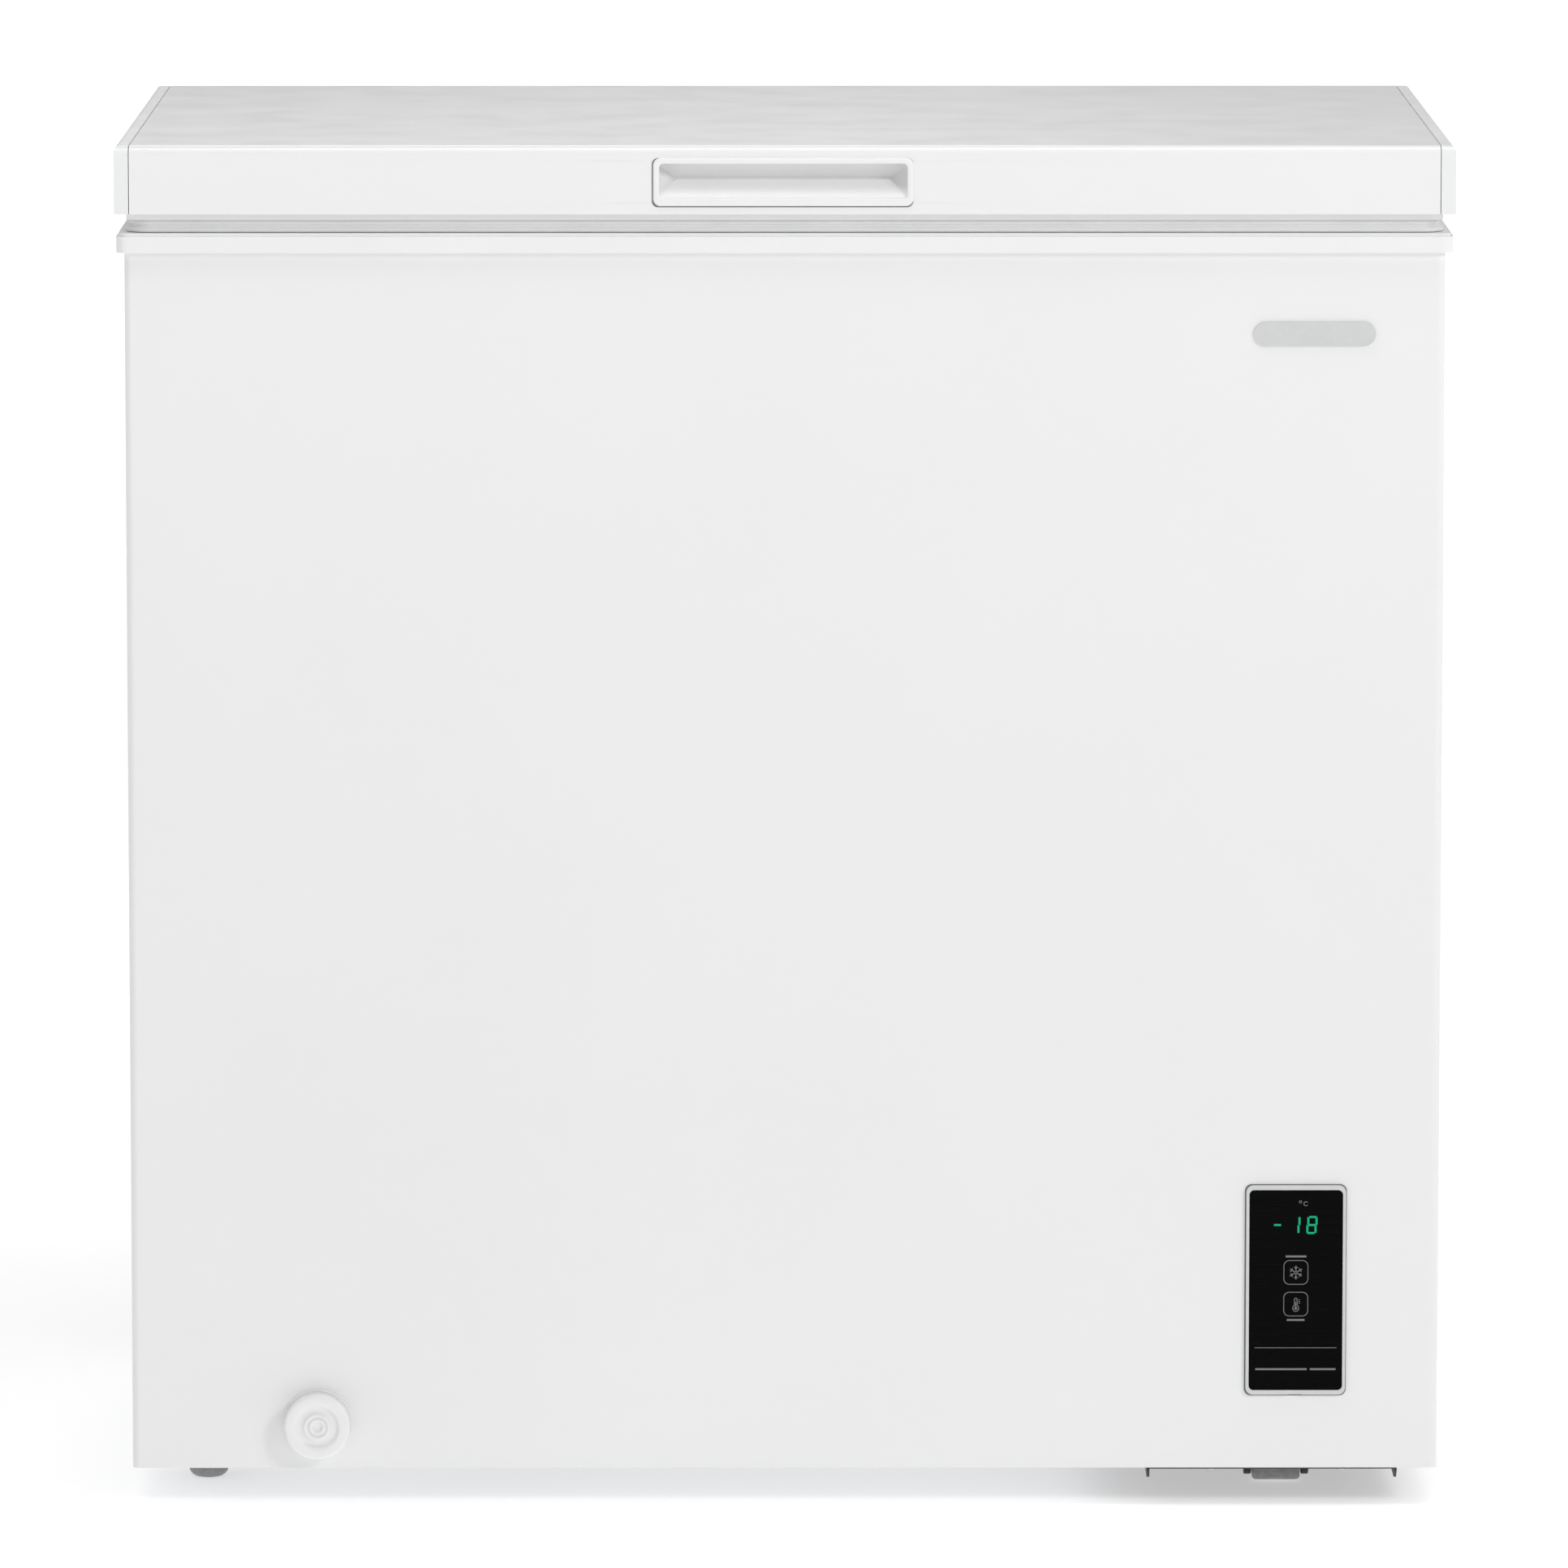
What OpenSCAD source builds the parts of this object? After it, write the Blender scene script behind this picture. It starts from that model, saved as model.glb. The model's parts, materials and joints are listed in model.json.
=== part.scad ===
// Chest freezer: foamed steel cabinet, counterbalanced lid, wire basket,
// electronic panel, drain dial, compressor bay on the right, two rollers and two levelling feet.
// Origin: middle of the footprint, on the floor. +Z up, the front faces -Y, +X is to the right.

/* [Overall] */
// Width over the lid
lid_w = 825; // [810:1:860]
// Depth of the lid, front to rear
lid_d = 524; // [510:1:560]
// Height from the floor to the top of the lid
total_h = 850; // [835:1:880]

/* [Lid] */
// Height of the painted lid shell
lid_h = 42; // [36:1:50]
// Bend radius along the lid's upper edges
lid_r = 5.5; // [3:0.5:8]
// Width of the end trim at each side of the lid
trim_w = 9.4; // [6:0.2:14]
// How far the lid opens, in degrees
lid_open = 80; // [60:1:85]

/* [Cabinet] */
// Height of the underside above the floor
floor_gap = 24; // [24:1:30]
// Height of the white collar around the mouth
collar_h = 12; // [10:1:16]
// Thickness of the foamed walls
wall = 50; // [46:1:56]
// Thickness of the foamed bottom
bottom = 54; // [50:1:60]
// Outer corner radius of the steel wrap
wrap_r = 5; // [3:0.5:8]
// Thickness of the painted steel sheet
sheet = 0.8; // [0.6:0.1:1.2]

/* [Compressor bay] */
// Distance from the middle of the cabinet to the bay's inner wall
bay_x = 196; // [180:1:210]
// Height of the bay's roof above the floor
bay_z = 262; // [240:1:280]

/* [Handle] */
// Width of the handle moulding
handle_w = 160; // [140:1:180]
// Height of the handle moulding
handle_h = 29.6; // [26:0.2:31]
// Depth of the finger recess
handle_deep = 20; // [14:1:24]

/* [Basket] */
// Length of the basket along the freezer
basket_len = 210; // [160:5:240]
// Height of the basket
basket_h = 190; // [140:5:220]

/* [Controls] */
// Width of the panel frame
panel_w = 62; // [58:0.5:70]
// Height of the panel frame
panel_h = 132; // [126:1:140]
// Radius of the drain dial
dial_r = 20.5; // [18:0.5:24]

/* [Hidden] */
$fn = 48;
eps = 0.01;

// Depth positions: the dial stands proud at the front, the hinges at the rear
dial_out = 8;
hinge_out = 28;
all_d = dial_out + lid_d + hinge_out;
lid_y0 = -all_d / 2 + dial_out;
lid_y1 = lid_y0 + lid_d;
cab_y0 = lid_y0 + 5;
cab_y1 = lid_y1 - 2;
cab_ym = (cab_y0 + cab_y1) / 2;
cab_w = lid_w - 11.5;

// Height positions
lid_z1 = total_h;
lid_z0 = total_h - lid_h;
frame_t = 4;
gasket_h = 8;
seal_gap = 0.3;
collar_z1 = lid_z0 - frame_t - gasket_h;
collar_z0 = collar_z1 - collar_h;
cab_z0 = floor_gap;
room_z0 = cab_z0 + bottom;
step_z = bay_z + 56;
ledge_z = collar_z0 + 4;

// The storage compartment
liner_t = 1;
room_w = cab_w - 2 * wall;
room_y0 = cab_y0 + wall;
room_y1 = cab_y1 - wall;
room_d = room_y1 - room_y0;
room_ym = (room_y0 + room_y1) / 2;
room_r = 24;
step_x = bay_x - 56;

// Running gears of the hinges
hinge_x = 262;
leaf_screw_x = 18;
leaf_screw_z = [lid_z0 + 12, lid_z0 + 30];
pin_y = lid_y1 + 18;
pin_z = lid_z0 + 4;
pin_r = 3;
run_gap = 0.05;
cam_r0 = 15;
cam_lift = 8;
plunger_gap = 0.4;
plunger_z0 = pin_z - 112;
spring_z0 = plunger_z0 - 36;

// Front fittings, placed from the nearer side of the cabinet
dial_inset = 115.45;
dial_x = dial_inset - cab_w / 2;
dial_z = floor_gap + 28;
panel_inset = 88.75;
panel_x = cab_w / 2 - panel_inset;
panel_z = floor_gap + 112.6;
panel_y = cab_y0;
lens_w = 58;
lens_h = 126;
lens_out = 2.6;
key_size = 13.8;
key_gap = 0.2;
key_z = [panel_z + 11.3, panel_z - 8.7];
badge_inset = 80.25;
badge_x = cab_w / 2 - badge_inset;
badge_z = collar_z0 - 50.4;

// Undercarriage
roller_inset = 96.75;
roller_x = cab_w / 2 - roller_inset;
roller_r = 11;
roller_w = 30;
roller_y = [lid_y0 + 92, cab_y1 - 26];
axle_r = 2.5;
foot_inset = 42.75;
foot_x = foot_inset - cab_w / 2;
foot_y = [lid_y0 + 106, cab_y1 - 72];
plate_x0 = cab_w / 2 - 180.75;
plate_x1 = cab_w / 2 - 24.75;
plate_t = 1.2;

// Compressor
comp_x = cab_w / 2 - 102.75;
comp_y = 30;
comp_r = 70;
comp_z0 = cab_z0 + 9;
comp_h = 150;
comp_foot_z = cab_z0 + 12;
comp_foot_dx = 60;
comp_foot_dy = 72;
plate_screw_x = [comp_x - 37.7, comp_x + 43.5];

// ---------- general helpers ----------
module block(lo, hi) {
  translate(lo) cube(hi - lo);
}
// A flat rounded rectangle about the origin, with true arcs
module rrect(w, h, r) {
  square([w - 2 * r, h], center = true);
  square([w, h - 2 * r], center = true);
  for (sx = [-1, 1], sy = [-1, 1])
    translate([sx * (w / 2 - r), sy * (h / 2 - r)]) circle(r);
}
// A rounded rectangular prism standing on z0
module rprism(w, d, r, z0, z1, y = 0, x = 0) {
  translate([x, y, z0]) linear_extrude(z1 - z0) rrect(w, d, r);
}
// A rounded plate that faces the front: from depth y_back towards the front by t
module front_plate(x, z, w, h, r, y_back, t) {
  translate([x, y_back, z]) rotate([90, 0, 0]) linear_extrude(t) rrect(w, h, r);
}
module along_x(x0, len) {
  translate([x0, 0, 0]) rotate([90, 0, 90]) linear_extrude(len) children();
}
module along_y(y1, len) {
  translate([0, y1, 0]) rotate([90, 0, 0]) linear_extrude(len) children();
}
module rod_x(r, x0, x1, y, z) {
  translate([x0, y, z]) rotate([0, 90, 0]) cylinder(r = r, h = x1 - x0);
}
module rod_y(r, y0, y1, x, z) {
  translate([x, y0, z]) rotate([-90, 0, 0]) cylinder(r = r, h = y1 - y0);
}
module rod_z(r, z0, z1, x, y) {
  translate([x, y, z0]) cylinder(r = r, h = z1 - z0);
}

// ---------- pipes swept along a line of points ----------
function unit(v) = v / norm(v);
function heading(p, i) =
  i == 0 ? unit(p[1] - p[0]) :
  i == len(p) - 1 ? unit(p[i] - p[i - 1]) :
  unit(unit(p[i] - p[i - 1]) + unit(p[i + 1] - p[i]));
function side_of(t, up) = unit(cross(t, up));
// The ring's sideways axis is carried along the line, so that the pipe never twists
function carried(p, i, u) =
  let (t = heading(p, i), w = u - (u * t) * t) unit(w);
function axes_of(p, i = 0, u = [0, 0, 0]) =
  let (t = heading(p, i),
       first = abs(t[2]) > 0.9 ? side_of(t, [1, 0, 0]) : side_of(t, [0, 0, 1]),
       now = i == 0 ? first : carried(p, i, u))
  i == len(p) - 1 ? [now] : concat([now], axes_of(p, i + 1, now));
module pipe(p, r, sides = 8) {
  axes = axes_of(p);
  n = len(p);
  pts = [
    for (i = [0 : n - 1])
      let (t = heading(p, i), u = axes[i], v = cross(t, u))
        for (k = [0 : sides - 1])
          p[i] + r * (cos(360 * k / sides) * u + sin(360 * k / sides) * v)
  ];
  walls = [
    for (i = [0 : n - 2], k = [0 : sides - 1])
      let (a = i * sides + k, b = i * sides + (k + 1) % sides)
        each [[a, a + sides, b], [b, a + sides, b + sides]]
  ];
  first = [for (k = [0 : sides - 1]) k];
  last = [for (k = [sides - 1 : -1 : 0]) (n - 1) * sides + k];
  polyhedron(points = pts, faces = concat([first], walls, [last]));
}
// Points of a quarter turn about c, from angle a0, in the plane of the axes u and v
function bend(c, r, u, v, a0, a1, n = 3) =
  [for (k = [0 : n]) let (a = a0 + (a1 - a0) * k / n) c + r * (cos(a) * u + sin(a) * v)];

// ---------- cabinet ----------
// Plan outline of the cabinet, inset by a distance: round front corners, square at the rear
module front_round_plan(inset, r) {
  w = cab_w - 2 * inset;
  y0 = cab_y0 + inset;
  translate([0, (y0 + cab_y1) / 2]) rrect(w, cab_y1 - y0, r);
  translate([-w / 2, cab_ym]) square([w, cab_y1 - cab_ym]);
}
module wrap_plan(inset) {
  front_round_plan(inset, wrap_r - inset);
}
grille_y = [-70, 150];
grille_z = [70, 200];
module outer_wrap() {
  color([0.95, 0.95, 0.95]) difference() {
    translate([0, 0, cab_z0]) linear_extrude(collar_z0 - cab_z0) wrap_plan(0);
    translate([0, 0, cab_z0 + sheet]) linear_extrude(total_h) wrap_plan(sheet);
    // the hem turned in along the bottom edge is 12 mm wide
    block([-cab_w / 2 + 12, cab_y0 + 12, 0], [cab_w / 2 - 12, cab_y1 + 1, cab_z0 + 2]);
    block([-cab_w / 2 - 1, cab_y1 - sheet, 0], [cab_w / 2 + 1, cab_y1 + 1, total_h]);
    // openings for the panel, the drain and the side vent
    block([panel_x - 26, cab_y0 - 1, panel_z - 58], [panel_x + 26, cab_y0 + 2, panel_z + 58]);
    rod_y(11, cab_y0 - 1, cab_y0 + 2, dial_x, dial_z);
    block([cab_w / 2 - 2, grille_y[0], grille_z[0]], [cab_w / 2 + 1, grille_y[1], grille_z[1]]);
  }
}
cover_x0 = bay_x + 4;
cover_x1 = cab_w / 2 - 8;
cover_z1 = bay_z - 6;
module rear_panel() {
  color([0.8, 0.81, 0.82]) difference() {
    block([-cab_w / 2, cab_y1 - sheet, cab_z0], [cab_w / 2, cab_y1, collar_z0]);
    block([cover_x0 + 8, cab_y1 - 2, cab_z0 - 1], [cover_x1 - 8, cab_y1 + 1, cover_z1 - 8]);
    // pressed stiffening grooves
    for (x = [-300, -150, 0, 150])
      block([x - 6, cab_y1 - 0.3, 330], [x + 6, cab_y1 + 1, 600]);
  }
}
module base_pan() {
  color([0.72, 0.74, 0.75]) difference() {
    block([-cab_w / 2 + 12, cab_y0 + 12, cab_z0], [bay_x - 1, cab_y1 - sheet, cab_z0 + sheet]);
    for (y = foot_y) rod_z(4.2, 0, cab_z0 + 2, foot_x, y);
  }
}
module bay_liner() {
  y0 = cab_y0 + sheet;
  y1 = cab_y1 - sheet;
  color([0.72, 0.74, 0.75]) intersection() {
    union() {
      block([bay_x - 1, y0 + 12, cab_z0], [bay_x, y1, bay_z + 1]);
      block([bay_x - 1, y0, cab_z0 + sheet], [bay_x, y0 + 13, bay_z + 1]);
      block([bay_x - 1, y0, bay_z], [cab_w / 2 - sheet, y1, bay_z + 1]);
    }
    linear_extrude(bay_z + 2) wrap_plan(sheet + 0.1);
  }
}
// Space of the compartment, grown outwards by g
module room_space(g, z1) {
  intersection() {
    union() {
      block([-cab_w, cab_y0, room_z0 - g], [step_x + g, cab_y1, z1]);
      block([-cab_w, cab_y0, step_z - g], [cab_w, cab_y1, z1]);
    }
    rprism(room_w + 2 * g, room_d + 2 * g, room_r + g, 0, z1, room_ym);
  }
}
drain_y = room_y0 + 34;
// Hairline seams between the liner's flat panels, its rounded corners and its two floors
seam = 0.02;
module liner_seams() {
  turn_x = room_w / 2 - room_r;
  riser_x = step_x + liner_t;
  wall_z = [room_z0, step_z];
  block([-cab_w, cab_y0, room_z0], [cab_w, cab_y1, room_z0 + seam]);
  block([riser_x, cab_y0, step_z], [cab_w, cab_y1, step_z + seam]);
  block([riser_x, cab_y0, 0], [riser_x + seam, cab_y1, total_h]);
  for (y = [room_y0, room_y1 - seam]) block([step_x, y, 0], [riser_x, y + seam, step_z + seam]);
  for (side = [0, 1]) {
    x = side == 0 ? -turn_x - seam : turn_x;
    edge = side == 0 ? -cab_w : room_w / 2;
    block([x, cab_y0, wall_z[side]], [x + seam, room_y0, total_h]);
    block([x, room_y1, wall_z[side]], [x + seam, cab_y1, total_h]);
    for (y = [room_y0 + room_r - seam, room_y1 - room_r])
      block([edge, y, wall_z[side]], [edge + cab_w - room_w / 2, y + seam, total_h]);
  }
}
module inner_liner() {
  color([0.93, 0.94, 0.94]) difference() {
    room_space(liner_t, collar_z0);
    room_space(0, collar_z0 + 1);
    rod_z(9, room_z0 - 3, room_z0 + 3, dial_x, drain_y);
    liner_seams();
  }
}
coil_z = [for (i = [0 : 5]) 380 + 62 * i];
coil_off = 8;
coil_r = 4;
// Each turn is a flat loop round the compartment that steps up at the rear
function coil_loop(z) =
  let (w = room_w / 2 + coil_off, y0 = room_y0 - coil_off, y1 = room_y1 + coil_off,
       r = room_r + coil_off)
  concat(
    [[30, y1, z]],
    bend([w - r, y1 - r, z], r, [0, 1, 0], [1, 0, 0], 0, 90),
    bend([w - r, y0 + r, z], r, [1, 0, 0], [0, -1, 0], 0, 90),
    bend([-w + r, y0 + r, z], r, [0, -1, 0], [-1, 0, 0], 0, 90),
    bend([-w + r, y1 - r, z], r, [-1, 0, 0], [0, 1, 0], 0, 90),
    [[-30, y1, z]]
  );
module evaporator_coil() {
  color([0.75, 0.76, 0.78]) pipe([for (z = coil_z) each coil_loop(z)], coil_r, 8);
}
cond_z = [for (i = [0 : 7]) 300 + 58 * i];
cond_off = 4.5;
cond_r = 2.5;
cond_bend = 12;
// Odd passes run from the right-hand side to the left, even ones back again
function cond_pass(z, flip) =
  let (w = cab_w / 2 - cond_off, y0 = cab_y0 + cond_off, y1 = cab_y1 - 40, r = cond_bend,
       run = concat(
         [[w, y1, z]],
         bend([w - r, y0 + r, z], r, [1, 0, 0], [0, -1, 0], 0, 90),
         bend([-w + r, y0 + r, z], r, [0, -1, 0], [-1, 0, 0], 0, 90),
         [[-w, y1, z]]))
  flip ? [for (k = [len(run) - 1 : -1 : 0]) run[k]] : run;
module condenser_coil() {
  color([0.25, 0.25, 0.26])
    pipe([for (i = [0 : len(cond_z) - 1]) each cond_pass(cond_z[i], i % 2 == 1)], cond_r, 6);
}
// Square grooves that hold the buried pipes
module coil_grooves() {
  g = coil_off + coil_r + 1;
  for (z = coil_z)
    rprism(room_w + 2 * g, room_d + 2 * g, room_r + g, z - 5, z + 5, room_ym);
  block([-38, room_y1 - 1, coil_z[0]], [38, room_y1 + g, coil_z[5]]);
}
module cond_grooves() {
  g = cond_off + cond_r + 0.5;
  for (z = cond_z) difference() {
    block([-cab_w, cab_y0 - 1, z - 3.2], [cab_w, cab_y1 - 36, z + 3.2]);
    translate([0, 0, z - 4]) linear_extrude(8) front_round_plan(g, cond_bend - g + cond_off);
  }
  for (s = [-1, 1])
    translate([s * (cab_w / 2 - g / 2), cab_y1 - 39.5, (cond_z[0] + cond_z[7]) / 2])
      cube([g + eps, 7, cond_z[7] - cond_z[0]], center = true);
}
module foam_core() {
  z1 = collar_z0;
  color([0.93, 0.88, 0.7]) difference() {
    translate([0, 0, cab_z0 + sheet]) linear_extrude(z1 - cab_z0 - sheet) wrap_plan(sheet);
    block([-cab_w, cab_y1 - sheet, 0], [cab_w, cab_y1 + 1, total_h]);
    room_space(liner_t, z1 + 1);
    block([bay_x - 1, cab_y0 - 1, 0], [cab_w, cab_y1 + 1, bay_z + 1]);
    coil_grooves();
    cond_grooves();
    rod_z(11, dial_z, room_z0, dial_x, drain_y);
    rod_y(11, cab_y0, drain_y + 11, dial_x, dial_z);
    for (y = foot_y) rod_z(4.2, 0, cab_z0 + 26, foot_x, y);
  }
}
module top_collar() {
  w = lid_w - 2;
  d = lid_d - 1;
  ym = (lid_y0 + lid_y1) / 2;
  color([0.95, 0.95, 0.95]) difference() {
    union() {
      rprism(w, d, 7, collar_z0, collar_z1 - 2, ym);
      rprism(w - 3, d - 3, 6, collar_z1 - 2, collar_z1, ym);
    }
    rprism(room_w, room_d, room_r, collar_z0 - 1, collar_z1 + 1, room_ym);
    // the ledge that carries the basket
    rprism(room_w + 16, room_d + 16, room_r + 8, ledge_z, collar_z1 + 1, room_ym);
  }
}
module drain_tube() {
  color([0.85, 0.86, 0.87]) difference() {
    union() {
      rod_z(10.5, dial_z, room_z0 - liner_t, dial_x, drain_y);
      rod_y(10.5, cab_y0 + 4, drain_y, dial_x, dial_z);
      translate([dial_x, drain_y, dial_z]) sphere(r = 10.5);
    }
    rod_z(8.8, dial_z, room_z0 + 1, dial_x, drain_y);
    rod_y(8.8, cab_y0, drain_y, dial_x, dial_z);
  }
}
module drain_housing() {
  y1 = cab_y0;
  color([0.93, 0.93, 0.92]) difference() {
    union() {
      rod_y(dial_r + 1.5, y1 - 2, y1, dial_x, dial_z);
      rod_y(10.8, y1, y1 + 4, dial_x, dial_z);
    }
    rod_y(8.2, y1 - 3, y1 + 5, dial_x, dial_z);
  }
}
module badge_plate() {
  color([0.8, 0.81, 0.82]) front_plate(badge_x, badge_z, 75, 15, 7.4, cab_y0, 1.4);
}

// ---------- compressor bay ----------
module compressor_plate() {
  y0 = cab_y0 + 5;
  color([0.1, 0.1, 0.11]) difference() {
    union() {
      block([plate_x0, y0, cab_z0 - plate_t], [plate_x1, cab_y1 - 3, cab_z0]);
      for (x = [plate_x0, plate_x1 - plate_t])
        block([x, y0 + 2, cab_z0 - 8], [x + plate_t, cab_y1 - 8, cab_z0]);
    }
    for (sx = [-1, 1], sy = [-1, 1])
      rod_z(3.1, cab_z0 - 3, cab_z0 + 1, comp_x + sx * comp_foot_dx, comp_y + sy * comp_foot_dy);
  }
}
module at_comp_feet() {
  for (sx = [-1, 1], sy = [-1, 1])
    translate([comp_x + sx * comp_foot_dx, comp_y + sy * comp_foot_dy, 0]) children();
}
module compressor_shell() {
  color([0.12, 0.12, 0.13]) difference() {
    compressor_body();
    translate([comp_x, comp_y, comp_z0 + 20]) cylinder(r = comp_r - 18, h = comp_h - 40);
  }
}
module compressor_body() {
  union() {
    translate([comp_x, comp_y, comp_z0]) rotate_extrude() intersection() {
      translate([0, comp_h / 2]) rrect(2 * comp_r, comp_h, 44);
      square([comp_r + 1, comp_h]);
    }
    translate([comp_x, comp_y, comp_z0 + 84]) cylinder(r = comp_r + 2.5, h = 5);
    difference() {
      rprism(2 * comp_foot_dx + 28, 2 * comp_foot_dy + 28, 12, comp_foot_z, comp_foot_z + 3,
        comp_y, comp_x);
      at_comp_feet() cylinder(r = 6.5, h = 100);
      for (sy = [-1, 1]) translate([comp_x, comp_y + sy * (comp_foot_dy + 14), comp_foot_z - 1])
        cylinder(r = 34, h = 6);
    }
    // stubs for the pipes
    rod_y(4.5, comp_y + 50, comp_y + 84, comp_x - 34, comp_z0 + 100);
    rod_y(3.4, comp_y + 50, comp_y + 80, comp_x + 34, comp_z0 + 66);
  }
}
module compressor_grommets() {
  color([0.08, 0.08, 0.08]) at_comp_feet() difference() {
    union() {
      translate([0, 0, cab_z0]) cylinder(r = 11, h = comp_foot_z - cab_z0);
      translate([0, 0, comp_foot_z]) cylinder(r = 6.3, h = 3);
      translate([0, 0, comp_foot_z + 3]) cylinder(r = 10, h = 3);
    }
    translate([0, 0, cab_z0 - 1]) cylinder(r = 3.1, h = 40);
  }
}
module compressor_bolts() {
  top = comp_foot_z + 6;
  color([0.7, 0.71, 0.72]) at_comp_feet() union() {
    translate([0, 0, cab_z0 - plate_t]) cylinder(r = 3, h = top + plate_t - cab_z0 + 0.5);
    translate([0, 0, top]) cylinder(r = 8, h = 1.2);
    translate([0, 0, top + 1.2]) cylinder(r = 5.5, h = 4, $fn = 6);
  }
}
module relay_cover() {
  x0 = comp_x - 26;
  color([0.14, 0.14, 0.15]) difference() {
    block([x0, comp_y - comp_r - 26, comp_z0 + 36], [x0 + 52, comp_y - comp_r + 12, comp_z0 + 82]);
    rod_z(comp_r + 0.3, 0, 300, comp_x, comp_y);
    for (z = [comp_z0 + 46 : 8 : comp_z0 + 74])
      block([x0 + 8, comp_y - comp_r - 27, z], [x0 + 44, comp_y - comp_r - 25, z + 3]);
  }
}
drier_x = cab_w / 2 - 34.75;
drier_y = 190;
drier_z = [70, 170];
module refrigerant_pipes() {
  sx = comp_x - 34;
  dx = comp_x + 34;
  sy = comp_y + 84;
  dy = comp_y + 80;
  sz = comp_z0 + 100;
  dz = comp_z0 + 66;
  suction = concat(
    [[sx, sy, sz]],
    bend([sx, sy + 6, sz + 14], 14, [0, 0, -1], [0, 1, 0], 0, 90, 4),
    [[sx, sy + 20, bay_z]]
  );
  discharge = concat(
    [[dx, dy, dz]],
    bend([dx, dy + 8, dz - 12], 12, [0, 0, 1], [0, 1, 0], 0, 90, 4),
    bend([dx + 14, dy + 20, 60], 14, [-1, 0, 0], [0, 0, -1], 0, 180, 8),
    [[dx + 28, dy + 20, bay_z]]
  );
  capillary = concat(
    [[drier_x, drier_y, drier_z[1] + 14]],
    [for (k = [0 : 36]) let (a = 30 * k)
      [drier_x - 16 + 16 * cos(a), drier_y + 16 * sin(a), drier_z[1] + 20 + 0.5 * k]],
    [[drier_x, drier_y, bay_z]]
  );
  color([0.72, 0.42, 0.26]) union() {
    pipe(suction, 4, 10);
    pipe(discharge, 2.8, 8);
    pipe(capillary, 1, 5);
  }
}
module filter_drier() {
  color([0.74, 0.44, 0.28]) translate([drier_x, drier_y, 0]) union() {
    translate([0, 0, drier_z[0]]) cylinder(r = 9.5, h = drier_z[1] - drier_z[0]);
    translate([0, 0, drier_z[1]]) cylinder(r1 = 9.5, r2 = 3, h = 10);
    translate([0, 0, drier_z[0] - 10]) cylinder(r1 = 3, r2 = 9.5, h = 10);
    translate([0, 0, drier_z[0] - 22]) cylinder(r = 3, h = 12);
    translate([0, 0, drier_z[1] + 10]) cylinder(r = 3, h = 4);
  }
}
module rear_cover() {
  color([0.78, 0.79, 0.8]) difference() {
    block([cover_x0, cab_y1, cab_z0 + 2], [cover_x1, cab_y1 + 1.2, cover_z1]);
    for (z = [62 : 14 : 230], x = [cover_x0 + 24, cover_x0 + 78, cover_x0 + 132])
      block([x, cab_y1 - 1, z], [x + 42, cab_y1 + 3, z + 5]);
    rod_y(7.4, cab_y1 - 1, cab_y1 + 3, gland_x, gland_z);
  }
}
gland_x = cover_x0 + 22;
gland_z = 44;
gland_r = 3.9;
module cord_gland() {
  color([0.1, 0.1, 0.1]) difference() {
    union() {
      rod_y(7.3, cab_y1 - 6, cab_y1 + 6, gland_x, gland_z);
      rod_y(11, cab_y1 + 1.2, cab_y1 + 4, gland_x, gland_z);
      rod_y(9, cab_y1 - 6, cab_y1, gland_x, gland_z);
    }
    rod_y(gland_r, cab_y1 - 8, cab_y1 + 8, gland_x, gland_z);
  }
}
module side_grille() {
  x1 = cab_w / 2;
  ym = (grille_y[0] + grille_y[1]) / 2;
  zm = (grille_z[0] + grille_z[1]) / 2;
  w = grille_y[1] - grille_y[0];
  h = grille_z[1] - grille_z[0];
  color([0.9, 0.91, 0.91]) difference() {
    union() {
      translate([x1, ym, zm]) rotate([90, 0, 90]) linear_extrude(2) rrect(w + 16, h + 16, 6);
      block([x1 - 8, grille_y[0] + 0.5, grille_z[0] + 0.5],
        [x1, grille_y[1] - 0.5, grille_z[1] - 0.5]);
    }
    block([x1 - 9, grille_y[0] + 3, grille_z[0] + 3], [x1 - 1, grille_y[1] - 3, grille_z[1] - 3]);
    for (z = [grille_z[0] + 8 : 10 : grille_z[1] - 10], k = [0 : 2])
      block([x1 - 2, grille_y[0] + 8 + 70 * k, z], [x1 + 3, grille_y[0] + 70 + 70 * k, z + 5]);
  }
}
module screw_y(x, y, z, r = 3.6) {
  rod_y(r, y, y + 1.8, x, z);
  rod_y(1.6, y - 8, y, x, z);
}
module body_screws() {
  color([0.72, 0.73, 0.74]) {
    // screws of the hinge brackets
    for (x = [-hinge_x, hinge_x], sx = [-19, 19], z = [spring_z0 + 26, collar_z0 - 20])
      screw_y(x + sx, cab_y1 + 2, z);
    // screws of the rear cover
    for (x = [cover_x0 + 5, cover_x1 - 5], z = [90, cover_z1 - 6])
      screw_y(x, cab_y1 + 1.2, z);
    // screws that hold the bottom plate to the wrap's hem
    for (x = plate_screw_x, y = [cab_y0 + 9]) union() {
      rod_z(3.6, cab_z0 - plate_t - 2, cab_z0 - plate_t, x, y);
      rod_z(1.8, cab_z0 - plate_t, cab_z0 + 5, x, y);
    }
  }
}

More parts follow.
